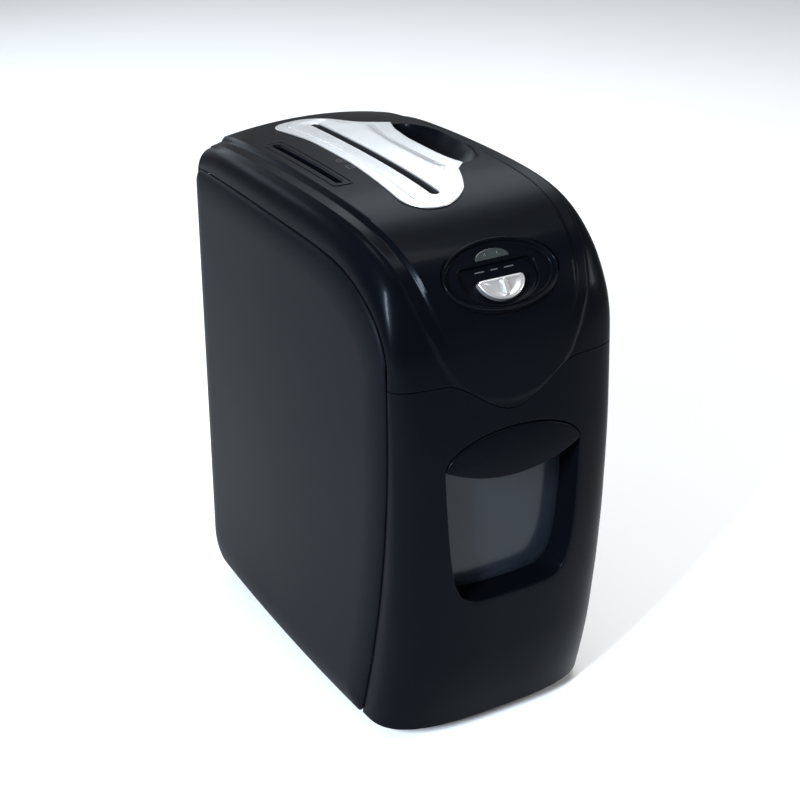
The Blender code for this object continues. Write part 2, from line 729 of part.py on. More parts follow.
def feet():
    """Four round rubber feet under the tray, tapering towards the floor."""
    top = FLOOR_GAP - GAP
    profile = [(0, top), (FOOT_RADIUS, top), (FOOT_RADIUS - 1.5, 0), (0, 0)]
    for side, x in (("left", -FOOT_X), ("right", FOOT_X)):
        for end, y in (("front", front_edge(FLOOR_GAP) - 2), ("back", HALF_LENGTH - 35)):
            foot = turned(f"foot_{end}_{side}", profile, (x, y, 0), RUBBER, 20, upright=True)
            smooth_shade(foot)


# Bin pieces ------------------------------------------------------------------------------------


def front_block(name, outer, thickness, mat=None, half_width=76.0, z_low=120.0):
    """A slab that follows the bin front, from this far outside its face inwards."""
    points = front_grid(z_low, np.linspace(0, 1, 6), 0.0, half_width)
    return shell(name, body_sheet(points), thickness, mat, offset=outer)


def bin_front():
    points = front_grid(FLOOR_GAP, FRONT_COLUMNS, GAP)
    front = shell("bin_front", body_sheet(points), WALL, HOUSING)
    liner = front_block("pocket_liner", -0.8, POCKET_DEPTH - 0.8)
    boolean(liner, through_front("liner_shape", inset(pocket_outline(), -POCKET_WALL)), "INTERSECT")
    boolean(front, liner, "UNION")
    boolean(front, through_front("pocket_hole", pocket_outline()), "DIFFERENCE")
    smooth_shade(front)


def pull_visor():
    visor = front_block("pull_visor", VISOR_PROUD, VISOR_THICKNESS, HOUSING)
    boolean(visor, through_front("visor_shape", inset(visor_outline(), GAP)), "INTERSECT")
    smooth_shade(visor)


def window_pane():
    pane = front_block("window_pane", -(POCKET_DEPTH - PANE_THICKNESS - 1), PANE_THICKNESS, SMOKED)
    boolean(pane, through_front("pane_shape", inset(pocket_outline(), GAP)), "INTERSECT")
    smooth_shade(pane)


def bin_tub():
    front = tub_front()
    back = HALF_LENGTH - 32
    tub = box("bin_tub", (-TUB_HALF_WIDTH, front, TUB_BOTTOM), (TUB_HALF_WIDTH, back, TUB_TOP), INNER)
    low = (-TUB_HALF_WIDTH - 4, front - 2, TUB_TOP - 4)
    high = (TUB_HALF_WIDTH + 4, back + 2, TUB_TOP + 1)
    boolean(tub, box("tub_rim", low, high), "UNION")
    low = (-TUB_HALF_WIDTH + TUB_WALL, front + TUB_WALL, TUB_BOTTOM + TUB_WALL)
    high = (TUB_HALF_WIDTH - TUB_WALL, back - TUB_WALL, TUB_TOP + 20)
    boolean(tub, box("tub_inside", low, high), "DIFFERENCE")
    view = box("tub_view", (-56, front - 9, POCKET_BOTTOM + 4), (56, front + 9, VISOR_TIP - VISOR_SAG))
    boolean(tub, view, "DIFFERENCE")


def tub_front():
    return front_edge(VISOR_TIP) + 14


def bin_brackets():
    """Two webs that hold the tub to the bin front."""
    for side, sign in (("left", -1), ("right", 1)):
        web = front_block(f"bin_bracket_{side}", -(WALL + 1.6), 45, INNER, half_width=90.0, z_low=50.0)
        low, high = sorted((sign * BRACKET_INNER, sign * BRACKET_OUTER))
        shape = through_front(f"web_shape_{side}", rounded((low, 80), (high, 270), 1.0, 2))
        boolean(web, shape, "INTERSECT")
        behind = box(f"web_back_{side}", (low - 9, tub_front() - GAP, 0), (high + 9, tub_front() + 90, 400))
        boolean(web, behind, "DIFFERENCE")


def runners():
    for side, sign in (("left", -1), ("right", 1)):
        low, high = sorted((sign * 62.0, sign * 72.0))
        top = TUB_BOTTOM - GAP
        box(f"runner_{side}", (low, -113, FLOOR_GAP + TRAY + GAP), (high, HALF_LENGTH - 40, top), INNER)


# Cutter head -----------------------------------------------------------------------------------


def head_base():
    """The shelf that carries the cutter head, its edges against the side panels."""
    ys = np.linspace(HEAD_FRONT, HALF_LENGTH - 27, 7)
    reach = PANEL_BULGE - WALL - GAP
    right = [(float(seam_half_width(y)) + reach, float(y)) for y in ys]
    left = [(-x, y) for x, y in right[::-1]]
    drop_half = CENTRE_DISTANCE / 2 + DISC_RADIUS
    drop = rounded((SLOT_X - drop_half, FRAME_FRONT + 8), (SLOT_X + drop_half, FRAME_BACK - 8), 4)
    base = flat("head_base", [right + left, drop], PLATE, facing_up(HEAD_FLOOR + PLATE / 2), INNER)
    smooth_shade(base)


def reduction_axis():
    distance = DRIVE_PITCH_RADIUS * (1 + IDLER_SMALL_TEETH / DRIVE_TEETH)
    turn = math.radians(REDUCTION_ANGLE)
    return RIGHT_AXIS_X + distance * math.cos(turn), AXIS_HEIGHT + distance * math.sin(turn)


def motor_axis():
    x, z = reduction_axis()
    distance = IDLER_LARGE_PITCH_RADIUS * (1 + PINION_TEETH / IDLER_LARGE_TEETH)
    turn = math.radians(MOTOR_ANGLE)
    return x + distance * math.cos(turn), z + distance * math.sin(turn)


def rod_places():
    right = motor_axis()[0] - MOTOR_RADIUS - 2 * ROD_RADIUS
    left = LEFT_AXIS_X - 30
    return ((left, AXIS_HEIGHT + 20), (left, AXIS_HEIGHT - 30), (right, AXIS_HEIGHT - 36))


def frame_plates():
    """Two steel plates across the head, bored for the cutter shafts and the tie rods."""
    outline = rounded((SLOT_X - 62, HEAD_FLOOR + PLATE + GAP), (SLOT_X + 94, AXIS_HEIGHT + 54), 5)
    shafts = [circle((x, AXIS_HEIGHT), SHAFT_RADIUS + BORE_GAP, 16) for x in (LEFT_AXIS_X, RIGHT_AXIS_X)]
    rods = [circle(place, ROD_RADIUS - 1 + BORE_GAP, 12) for place in rod_places()]
    flat("frame_front", [outline, *shafts, *rods], PLATE, facing_front(FRAME_FRONT), ZINC)
    drive = [circle(axis, PIN_RADIUS + BORE_GAP, 12) for axis in (reduction_axis(), motor_axis())]
    flat("frame_back", [outline, *shafts, *rods, *drive], PLATE, facing_front(FRAME_BACK), ZINC)


def tie_rods():
    """Rods with shoulders that keep the plates apart, their thinner ends through the plates."""
    half = (FRAME_BACK - FRAME_FRONT) / 2
    middle = (FRAME_BACK + FRAME_FRONT) / 2
    shoulder = half - PLATE / 2 - BORE_GAP
    end = half + PLATE / 2 + 3
    thin = ROD_RADIUS - 1
    for index, (x, z) in enumerate(rod_places()):
        profile = [(0, end), (thin, end), (thin, shoulder), (ROD_RADIUS, shoulder)]
        profile += [(radius, -along) for radius, along in profile[::-1]]
        rod = turned(f"tie_rod_{index + 1}", profile, (x, middle, z), ZINC, 12)
        smooth_shade(rod)


def cutter(name, x, shift, back):
    """A shaft with a drum of cutting discs. The other shaft's discs run in the gaps between these."""
    count = int(SLOT_LENGTH // DISC_PITCH)
    start = SLOT_Y - count * DISC_PITCH / 2 + DISC_PITCH / 4 + shift
    front = FRAME_FRONT - PLATE / 2 - GEAR_WIDTH - 4
    drum = SLOT_LENGTH / 2 + 4
    half = DISC_THICKNESS / 2
    high = SLOT_Y + drum
    low = SLOT_Y - drum
    profile = [(0, back), (SHAFT_RADIUS, back), (SHAFT_RADIUS, high), (DRUM_RADIUS, high)]
    for disc in reversed(range(count)):
        y = start + disc * DISC_PITCH
        profile += [(DRUM_RADIUS, y + half), (DISC_RADIUS, y + half)]
        profile += [(DISC_RADIUS, y - half), (DRUM_RADIUS, y - half)]
    profile += [(DRUM_RADIUS, low), (SHAFT_RADIUS, low), (SHAFT_RADIUS, front), (0, front)]
    smooth_shade(turned(name, profile, (x, 0, AXIS_HEIGHT), STEEL, 12))


def gear(name, teeth, pitch_radius, phase, axis, low, bore):
    """A spur gear in the plane that starts at this depth, bored for its shaft or pin."""
    outlines = [gear_outline(teeth, pitch_radius, phase), circle((0, 0), bore + BORE_GAP, 16)]
    return flat(name, outlines, GEAR_WIDTH, facing_front(low + GEAR_WIDTH / 2, *axis), NYLON)


def gear_train():
    left = (LEFT_AXIS_X, AXIS_HEIGHT)
    right = (RIGHT_AXIS_X, AXIS_HEIGHT)
    idler = reduction_axis()
    sync = CENTRE_DISTANCE / 2
    sync_low = FRAME_FRONT - PLATE / 2 - 2 - GEAR_WIDTH
    sync_phase = math.pi + math.pi / SYNC_TEETH
    gear("sync_gear_left", SYNC_TEETH, sync, 0.0, left, sync_low, SHAFT_RADIUS)
    gear("sync_gear_right", SYNC_TEETH, sync, sync_phase, right, sync_low, SHAFT_RADIUS)
    first = FRAME_BACK + PLATE / 2 + 2.5
    phase = math.radians(REDUCTION_ANGLE)
    meshed = phase + math.pi + math.pi / IDLER_SMALL_TEETH
    small = DRIVE_PITCH_RADIUS * IDLER_SMALL_TEETH / DRIVE_TEETH
    gear("drive_gear", DRIVE_TEETH, DRIVE_PITCH_RADIUS, phase, right, first, SHAFT_RADIUS)
    gear("idler_gear_small", IDLER_SMALL_TEETH, small, meshed, idler, first, PIN_RADIUS)
    second = first + GEAR_WIDTH + 2
    phase = math.radians(MOTOR_ANGLE)
    meshed = phase + math.pi + math.pi / PINION_TEETH
    large = IDLER_LARGE_PITCH_RADIUS
    gear("idler_gear_large", IDLER_LARGE_TEETH, large, phase, idler, second, PIN_RADIUS)
    pinion = large * PINION_TEETH / IDLER_LARGE_TEETH
    gear("motor_pinion", PINION_TEETH, pinion, meshed, motor_axis(), second, PIN_RADIUS)
    high = second + GEAR_WIDTH + 2
    low = FRAME_BACK - 4
    pin = [(0, high), (PIN_RADIUS, high), (PIN_RADIUS, low), (0, low)]
    smooth_shade(turned("idler_pin", pin, (idler[0], 0, idler[1]), ZINC, 12))


def motor():
    x, z = motor_axis()
    face = FRAME_BACK - PLATE / 2 - GAP
    end = face - MOTOR_LENGTH
    bore = PIN_RADIUS + BORE_GAP
    small = MOTOR_RADIUS - 3
    profile = [(0, face - 22), (bore, face - 22), (bore, face), (small, face), (MOTOR_RADIUS, face - 3)]
    profile += [(MOTOR_RADIUS, end + 3), (small, end), (0, end)]
    smooth_shade(turned("motor_body", profile, (x, 0, z), ZINC, 24))
    tip = FRAME_BACK + PLATE / 2 + 4.5 + 2 * GEAR_WIDTH + 2
    shaft = [(0, tip), (PIN_RADIUS, tip), (PIN_RADIUS, face - 21), (0, face - 21)]
    smooth_shade(turned("motor_shaft", shaft, (x, 0, z), STEEL, 12))


def guides():
    """Plates that lead paper straight down, and discs down a slope, into the cutters."""
    low = FRAME_FRONT + PLATE / 2 + BORE_GAP
    high = FRAME_BACK - PLATE / 2 - BORE_GAP
    half = SLOT_WIDTH / 2 + 1
    left = SLOT_X - half
    right = SLOT_X + half
    top = AXIS_HEIGHT + 67
    nip = AXIS_HEIGHT + DISC_RADIUS + 6
    box("paper_guide_left", (left - SHEET, low, nip + 19), (left, high, top), ZINC)
    box("paper_guide_right", (right, low, nip), (right + SHEET, high, top), ZINC)
    lower = (DISC_SLOT_X - 5, top - 5), (left - SHEET - 5, nip + 4)
    upper = (DISC_SLOT_X + 7, top - 4), (left - SHEET - 2, nip + 13)
    for name, ((x0, z0), (x1, z1)) in (("disc_guide_lower", lower), ("disc_guide_upper", upper)):
        outline = [(x0, z0), (x1, z1), (x1, z1 + SHEET), (x0, z0 + SHEET)]
        flat(name, [outline], high - low, facing_front((low + high) / 2), ZINC)


def paper_sensors():
    """Light gates at the two sides of the slot, which start the motor when paper is fed."""
    y = SLOT_Y + 30
    z = AXIS_HEIGHT + 48
    outer = SLOT_WIDTH / 2 + 1 + SHEET + 0.3
    box("paper_sensor_left", (SLOT_X - outer - 6, y - 5, z + 2), (SLOT_X - outer, y + 5, z + 12), BOARD)
    box("paper_sensor_right", (SLOT_X + outer, y - 5, z + 2), (SLOT_X + outer + 6, y + 5, z + 12), BOARD)


def circuit_board():
    """The control board on four posts, with a relay, a capacitor and a transformer."""
    low = HEAD_FLOOR + PLATE + GAP
    x0 = LEFT_AXIS_X - 78
    x1 = LEFT_AXIS_X - 36
    board = box("circuit_board", (x0, -55, low + 7), (x1, 60, low + 8.6), BOARD)
    posts = ((x0 + 5, -50), (x1 - 5, -50), (x0 + 5, 55), (x1 - 5, 55))
    for index, (x, y) in enumerate(posts):
        post = box(f"board_post_{index}", (x - 2.5, y - 2.5, low), (x + 2.5, y + 2.5, low + 7.5))
        boolean(board, post, "UNION")
    chips = ((x0 + 6, -30, 28, 30, 24), (x0 + 8, 12, 14, 18, 14), (x0 + 24, 34, 12, 14, 10))
    for index, (x, y, wide, deep, tall) in enumerate(chips):
        chip = box(f"board_block_{index}", (x, y, low + 8), (x + wide, y + deep, low + 8 + tall))
        boolean(board, chip, "UNION")


def interlock():
    """A magnet on the bin's rim and the reed switch above it, so the cutters stop when the bin is out."""
    x = TUB_HALF_WIDTH - 4
    magnet_top = TUB_TOP + 1 + GAP + 5
    box("interlock_magnet", (x - 4, -80, TUB_TOP + 1 + GAP), (x + 6, -62, magnet_top), INNER)
    box("interlock_switch", (x - 4, -84, magnet_top + 4), (x + 6, -58, HEAD_FLOOR - GAP), INNER)


# Control panel ---------------------------------------------------------------------------------


def control_bezel(face):
    """An oval dish with a pocket for the knob and a slot under it for the knob's stem."""
    outline = ellipse(CONTROL_HALF_WIDTH, CONTROL_HALF_HEIGHT)
    bezel = control_plate("control_bezel", [outline], face - BEZEL_THICKNESS, face, INNER)
    wide = KNOB_WIDTH + 2 * KNOB_TRAVEL + 5
    above = KNOB_TOP + POCKET_RISE
    pocket = [(-wide / 2, above), *knob_outline(wide, KNOB_HEIGHT + KNOB_ROOM), (wide / 2, above)]
    hollow = control_plate("knob_pocket", [pocket], face - POCKET_SINK, face + 9)
    boolean(bezel, hollow, "DIFFERENCE")
    reach = STEM_HALF_WIDTH + KNOB_TRAVEL + 1
    slot = rounded((-reach, -14), (reach, -8), 1.0, 2)
    boolean(bezel, control_plate("stem_slot", [slot], face - 20, face + 9), "DIFFERENCE")
    smooth_shade(bezel)


def mode_knob(face):
    """A half moon with a thumb ridge, on a stem that goes down into the switch's slider."""
    outline = knob_outline(KNOB_WIDTH, KNOB_HEIGHT)
    knob = control_plate("mode_knob", [outline], face - POCKET_SINK + GAP, face + 1.5, SILVER)
    ridge = rounded((-4.5, KNOB_TOP - KNOB_HEIGHT + 3), (4.5, KNOB_TOP - 2), 2.0, 3)
    boolean(knob, control_plate("knob_ridge", [ridge], face + 1, face + 5), "UNION")
    stem = rounded((-STEM_HALF_WIDTH, -13), (STEM_HALF_WIDTH, -9), 1.0, 2)
    boolean(knob, control_plate("knob_stem", [stem], face - BEZEL_THICKNESS + GAP, face - 3), "UNION")
    smooth_shade(knob)


def control_panel():
    face = -CONTROL_RECESS
    control_bezel(face)
    mode_knob(face)
    block = rounded((-24, -19), (24, -3), 2.0, 2)
    control_plate("mode_switch", [block], face - 24, face - BEZEL_THICKNESS - GAP, INNER)
    lens = arc((0, 14), (15, 9), 0, 180, 9)
    control_plate("indicator_lens", [lens], face + 0.3, face + 1.1, LAMP)
    for name, x in (("lamp_ready", -6.0), ("lamp_overheat", 6.0)):
        control_plate(name, [circle((x, 17.5), 1.5, 12)], face + 1.4, face + 2.0, LAMP)


def build():
    top_cover()
    side_panel("side_panel_left", -1)
    side_panel("side_panel_right", 1)
    rear_panel()
    rear_screws()
    power_inlet()
    base_tray()
    feet()
    throat_plate()
    disc_bezel()
    finger_scoop()
    control_panel()
    bin_front()
    pull_visor()
    window_pane()
    bin_tub()
    bin_brackets()
    runners()
    head_base()
    frame_plates()
    tie_rods()
    cutter("cutter_left", LEFT_AXIS_X, 0.0, FRAME_BACK + PLATE / 2 + 2)
    cutter("cutter_right", RIGHT_AXIS_X, DISC_PITCH / 2, FRAME_BACK + PLATE / 2 + GEAR_WIDTH + 4)
    gear_train()
    motor()
    guides()
    paper_sensors()
    circuit_board()
    interlock()


build()
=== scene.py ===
import json
import math

import bmesh
import bpy
import numpy as np
from mathutils import Matrix, Vector

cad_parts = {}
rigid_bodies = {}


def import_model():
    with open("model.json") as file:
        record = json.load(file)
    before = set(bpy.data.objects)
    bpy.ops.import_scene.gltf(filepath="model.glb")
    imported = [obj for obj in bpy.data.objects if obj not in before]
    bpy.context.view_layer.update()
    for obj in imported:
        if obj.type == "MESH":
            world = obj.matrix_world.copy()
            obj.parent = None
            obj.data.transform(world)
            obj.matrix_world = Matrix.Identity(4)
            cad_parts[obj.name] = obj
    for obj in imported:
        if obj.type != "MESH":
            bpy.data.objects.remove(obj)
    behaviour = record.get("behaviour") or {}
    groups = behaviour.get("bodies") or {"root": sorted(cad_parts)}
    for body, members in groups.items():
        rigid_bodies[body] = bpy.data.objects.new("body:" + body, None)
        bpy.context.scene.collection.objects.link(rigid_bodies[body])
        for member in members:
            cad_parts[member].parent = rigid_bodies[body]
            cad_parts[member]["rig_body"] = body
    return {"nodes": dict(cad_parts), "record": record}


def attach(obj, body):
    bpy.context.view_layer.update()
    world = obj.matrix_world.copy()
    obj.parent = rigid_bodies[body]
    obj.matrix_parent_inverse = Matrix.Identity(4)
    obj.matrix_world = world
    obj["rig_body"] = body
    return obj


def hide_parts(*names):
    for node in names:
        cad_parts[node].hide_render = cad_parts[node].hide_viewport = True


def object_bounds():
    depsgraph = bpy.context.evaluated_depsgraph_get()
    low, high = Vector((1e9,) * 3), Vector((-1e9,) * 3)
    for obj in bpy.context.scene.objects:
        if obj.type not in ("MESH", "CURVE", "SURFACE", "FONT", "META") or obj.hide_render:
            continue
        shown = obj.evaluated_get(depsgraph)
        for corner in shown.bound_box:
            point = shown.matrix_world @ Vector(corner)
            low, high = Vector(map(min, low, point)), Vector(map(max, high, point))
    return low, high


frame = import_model()
cadLow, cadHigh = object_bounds()
mm = 0.001  # shapes are worked out in millimetres and made in metres
print("frame loaded:", len(frame["nodes"]), "nodes")


# reading the frame

def opening(name):  # low and high corner of one of the record's openings, in millimetres
    found = next(o for o in frame["record"]["physics"]["openings"] if o["name"] == name)
    return np.array(found["box_m"]) / mm


# curves and surfaces

def eased(points, count, spread):
    # points joined by straight lines at even steps of their index, then averaged under a bell window;
    # an odd reflection at both ends holds the end points
    points = np.asarray(points, float)
    where = np.linspace(0, len(points) - 1, count)
    lines = np.column_stack([np.interp(where, np.arange(len(points)), column) for column in points.T])
    reach = int(3 * spread)
    before = 2 * lines[0] - lines[reach:0:-1]
    after = 2 * lines[-1] - lines[-2:-reach - 2:-1]
    padded = np.vstack([before, lines, after])
    window = np.exp(-0.5 * (np.arange(-reach, reach + 1) / spread) ** 2)
    window /= window.sum()
    return np.column_stack([np.convolve(column, window, "valid") for column in padded.T])


def evenly(points, count):
    # the polyline resampled at even steps of its length
    points = np.asarray(points, float)
    length = np.concatenate([[0], np.cumsum(np.linalg.norm(np.diff(points, axis=0), axis=1))])
    where = np.linspace(0, length[-1], count)
    return np.column_stack([np.interp(where, length, column) for column in points.T])


def smoothRun(points, step=1.5, radius=6.0):
    # a run of a listed outline, at even steps, with its corners rounded by about this radius
    points = np.asarray(points, float)
    total = np.linalg.norm(np.diff(points, axis=0), axis=1).sum()
    count = max(8, int(total / step))
    even = evenly(points, count)
    spread = min(radius / step / 1.5, count / 7)
    return evenly(eased(even, count, spread), count)


def closedRun(runs):
    # smooth runs that meet at sharp corners, as one closed loop without a doubled point
    return np.vstack([smoothRun(*run)[:-1] for run in runs])


def arc(centre, radii, start, end, count):
    turn = np.radians(np.linspace(start, end, count))
    return np.column_stack([centre[0] + radii[0] * np.cos(turn), centre[1] + radii[1] * np.sin(turn)])


def ellipse(radii, count=160):
    return arc((0, 0), radii, 0, 360 - 360 / count, count)


def roundedBox(low, high, radius, step=8):
    # a rectangle with round corners, anticlockwise
    (x0, y0), (x1, y1) = low, high
    corners = ((x1 - radius, y0 + radius, -90), (x1 - radius, y1 - radius, 0),
               (x0 + radius, y1 - radius, 90), (x0 + radius, y0 + radius, 180))
    return np.vstack([arc((x, y), (radius, radius), a, a + 90, step) for x, y, a in corners])


def inward(loop, distance):
    # a closed anticlockwise loop moved in along the normals of its points
    tangent = np.roll(loop, -1, axis=0) - np.roll(loop, 1, axis=0)
    tangent /= np.maximum(np.linalg.norm(tangent, axis=1), 1e-9)[:, None]
    return loop + np.column_stack([-tangent[:, 1], tangent[:, 0]]) * np.reshape(distance, (-1, 1))


def smoothStep(t):
    t = np.clip(t, 0, 1)
    return t * t * (3 - 2 * t)


def meshOf(name, grid, wrap=False, poles=()):
    # quads between neighbours of a grid (rows, columns, 3); a pole closes its row with a fan to its middle
    rows, columns = grid.shape[:2]
    index = np.arange(rows * columns).reshape(rows, columns)
    if wrap:
        index = np.column_stack([index, index[:, 0]])
    quads = np.stack([index[:-1, :-1], index[:-1, 1:], index[1:, 1:], index[1:, :-1]], axis=-1)
    faces = quads.reshape(-1, 4).tolist()
    points = grid.reshape(-1, 3)
    for pole in poles:
        hub = len(points)
        points = np.vstack([points, grid[pole].mean(axis=0)])
        ring = index[pole] if pole else index[pole][::-1]
        faces += [[a, b, hub] for a, b in zip(ring[:-1].tolist(), ring[1:].tolist())]
    mesh = bpy.data.meshes.new(name)
    mesh.from_pydata((points * mm).tolist(), [], faces)
    obj = bpy.data.objects.new(name, mesh)
    bpy.context.scene.collection.objects.link(obj)
    return obj


def turnedOut(obj, middle=None):
    # a closed solid gets its normals recalculated; an open sheet is flipped if it faces this point
    shape = bmesh.new()
    shape.from_mesh(obj.data)
    if middle is None:
        bmesh.ops.remove_doubles(shape, verts=shape.verts, dist=0.000004)
        bmesh.ops.recalc_face_normals(shape, faces=shape.faces)
    else:
        centre = Vector(middle) * mm
        facing = 0
        for face in shape.faces:
            facing += face.normal.dot(face.calc_center_median() - centre) * face.calc_area()
        if facing < 0:
            bmesh.ops.reverse_faces(shape, faces=shape.faces)
    shape.to_mesh(obj.data)
    shape.free()
    return obj


def settled(obj):
    # the modifiers' result becomes the mesh
    bpy.context.view_layer.update()
    graph = bpy.context.evaluated_depsgraph_get()
    mesh = bpy.data.meshes.new_from_object(obj.evaluated_get(graph))
    obj.modifiers.clear()
    obj.data = mesh
    return obj


def walled(obj, thickness, edge=0.0):
    # a wall inwards of the surface, and its rims rounded
    wall = obj.modifiers.new("wall", "SOLIDIFY")
    wall.thickness = thickness * mm
    wall.offset = -1
    settled(obj)
    if edge:
        rims = obj.modifiers.new("rims", "BEVEL")
        rims.width = edge * mm
        rims.segments = 2
        rims.limit_method = "ANGLE"
        rims.angle_limit = math.radians(60)
        settled(obj)
    return obj


def cut(obj, cutter):
    step = obj.modifiers.new("cut", "BOOLEAN")
    step.operation = "DIFFERENCE"
    step.solver = "MANIFOLD"
    step.object = cutter
    settled(obj)
    bpy.data.objects.remove(cutter, do_unlink=True)


def prism(name, loop, low, high, matrix=None):
    # an outline in the XY plane carried from one height to another
    grid = np.stack([np.column_stack([loop, np.full(len(loop), z)]) for z in (low, high)])
    if matrix is not None:
        grid = moved(grid, matrix)
    return turnedOut(meshOf(name, grid, wrap=True, poles=(0, -1)))


def moved(grid, matrix):
    return grid @ np.array(matrix.to_3x3()).T + np.array(matrix.translation)


def shaded(obj, angle=35):
    obj.data.shade_smooth()
    obj.data.set_sharp_from_angle(angle=math.radians(angle))
    return obj


def placed(obj, body, slot, *nodes):
    obj.data.materials.clear()
    obj.data.materials.append(finishes[slot])
    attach(obj, body)
    if nodes:
        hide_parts(*nodes)
    return obj


# finishes

class Wire:
    # a shader value that adds a Math node for each operator used on it
    def __init__(self, tree, socket):
        self.tree = tree
        self.socket = socket

    def joined(self, operation, first, second):
        return self.tree.add("ShaderNodeMath", {"operation": operation}, {0: first, 1: second})

    def __add__(self, other):
        return self.joined("ADD", self, other)

    def __radd__(self, other):
        return self.joined("ADD", other, self)

    def __sub__(self, other):
        return self.joined("SUBTRACT", self, other)

    def __rsub__(self, other):
        return self.joined("SUBTRACT", other, self)

    def __mul__(self, other):
        return self.joined("MULTIPLY", self, other)

    def __rmul__(self, other):
        return self.joined("MULTIPLY", other, self)


class Finish:
    # one material: its principled shader and the nodes that feed it
    def __init__(self, name, **constants):
        self.material = bpy.data.materials.new(name)
        self.material.use_nodes = True
        self.tree = self.material.node_tree
        self.shader = self.tree.nodes["Principled BSDF"]
        for socket, value in constants.items():
            self.shader.inputs[socket.replace("_", " ")].default_value = value
        self.place = self.add("ShaderNodeTexCoord", {}, {}, "Object")

    def add(self, kind, settings, inputs, output=0):
        node = self.tree.nodes.new(kind)
        for key, value in settings.items():
            setattr(node, key, value)
        for key, value in inputs.items():
            if isinstance(value, Wire):
                self.tree.links.new(value.socket, node.inputs[key])
            else:
                node.inputs[key].default_value = value
        return Wire(self, node.outputs[output])

    def feed(self, socket, wire):
        self.tree.links.new(wire.socket, self.shader.inputs[socket])

    def noise(self, scale, detail=2.0, stretch=(1, 1, 1)):
        where = self.add("ShaderNodeMapping", {}, {"Vector": self.place, "Scale": stretch})
        inputs = {"Vector": where, "Scale": scale, "Detail": detail}
        return self.add("ShaderNodeTexNoise", {}, inputs, "Fac")

    def shades(self, factor, dark, light):
        inputs = {0: factor, 6: (*dark, 1), 7: (*light, 1)}  # the colour sockets of a Mix node
        return self.add("ShaderNodeMix", {"data_type": "RGBA"}, inputs, 2)

    def bump(self, height, depth):
        inputs = {"Height": height, "Distance": depth * mm, "Strength": 1.0}
        self.feed("Normal", self.add("ShaderNodeBump", {}, inputs, "Normal"))


def glossBlack():
    # moulded satin-gloss black: a faint orange peel, soft cloudy haze and scattered dust-fine wear
    look = {"dark": (0.0008, 0.001, 0.0018), "light": (0.0018, 0.0023, 0.0038),
            "rough": 0.24, "haze": 0.08, "wear": 0.06, "coat": 0.03, "wornCoat": 0.02}
    finish = Finish("housingGloss", Specular_IOR_Level=0.03, Coat_Roughness=0.1,
                    Specular_Tint=(0.72, 0.86, 1, 1))
    cloud = finish.noise(9, 3)
    finish.feed("Base Color", finish.shades(cloud, look["dark"], look["light"]))
    scuff = finish.noise(260, 5)
    finish.feed("Roughness", look["rough"] + look["haze"] * cloud + look["wear"] * scuff)
    finish.feed("Coat Weight", look["coat"] - look["wornCoat"] * scuff)
    finish.bump(finish.noise(520, 2), 0.012)
    return finish.material


def matteCharcoal():
    # fine spark-eroded grain on the side panels
    finish = Finish("panelGrain", Specular_IOR_Level=0.05, Specular_Tint=(0.75, 0.88, 1, 1))
    cloud = finish.noise(6, 3)
    grain = finish.noise(1500, 3)
    finish.feed("Base Color", finish.shades(cloud, (0.0018, 0.0022, 0.0032), (0.003, 0.0037, 0.0052)))
    finish.feed("Roughness", 0.4 + 0.08 * cloud + 0.08 * grain)
    finish.bump(grain, 0.03)
    return finish.material


def satinSilver():
    # a brushed, lacquered metal look: fine lines and slight clouding
    finish = Finish("silverSatin", Metallic=0.85)
    lines = finish.noise(900, 4, (1, 0.06, 1))
    cloud = finish.noise(14, 2)
    finish.feed("Base Color", finish.shades(cloud, (0.5, 0.5, 0.5), (0.6, 0.6, 0.595)))
    finish.feed("Roughness", 0.27 + 0.1 * lines + 0.06 * cloud)
    finish.bump(lines, 0.01)
    return finish.material


def smokedClear():
    # dark tinted plastic that lets a little through, with faint rubbing
    finish = Finish("windowSmoke", Specular_IOR_Level=0.25, Alpha=0.88)
    cloud = finish.noise(12, 2)
    finish.feed("Base Color", finish.shades(cloud, (0.008, 0.011, 0.016), (0.015, 0.02, 0.027)))
    finish.feed("Roughness", 0.12 + 0.1 * finish.noise(60, 4))
    return finish.material


def plain(name, dark, light, rough, metallic=0.0, grain=700, depth=0.02, stretch=(1, 1, 1)):
    # the shared recipe of the plainer finishes: two shades clouded together, and a fine grain
    finish = Finish(name, Metallic=metallic)
    cloud = finish.noise(20, 4)
    fine = finish.noise(grain, 3, stretch)
    finish.feed("Base Color", finish.shades(cloud, dark, light))
    finish.feed("Roughness", rough + 0.12 * fine + 0.06 * cloud)
    finish.bump(fine, depth)
    return finish.material


finishes = {
    "housing": glossBlack(),
    "panel": matteCharcoal(),
    "silver": satinSilver(),
    "smoked": smokedClear(),
    "inner": plain("innerBlack", (0.008, 0.008, 0.009), (0.014, 0.014, 0.016), 0.42),
    "rubber": plain("footRubber", (0.009, 0.009, 0.009), (0.018, 0.018, 0.017), 0.72,
                    grain=400, depth=0.05),
    "zinc": plain("zincPlate", (0.42, 0.43, 0.43), (0.56, 0.56, 0.55), 0.3, 0.9, 500, 0.01, (1, 1, 0.1)),
    "steel": plain("groundSteel", (0.33, 0.33, 0.34), (0.45, 0.45, 0.46), 0.28, 1.0, 800, 0.01,
                   (1, 0.08, 1)),
    "nylon": plain("gearNylon", (0.62, 0.59, 0.5), (0.72, 0.7, 0.62), 0.4, grain=300),
    "board": plain("boardLaminate", (0.01, 0.07, 0.03), (0.02, 0.11, 0.045), 0.35, grain=900),
    "lamp": plain("lampLens", (0.012, 0.016, 0.015), (0.022, 0.028, 0.026), 0.12,
                  grain=200, depth=0.005),
}
greyPrint = plain("greyPrint", (0.035, 0.036, 0.04), (0.06, 0.061, 0.066), 0.5)
print("finishes made:", len(finishes))

# the housing's form, repeated from the part's design at a finer grain

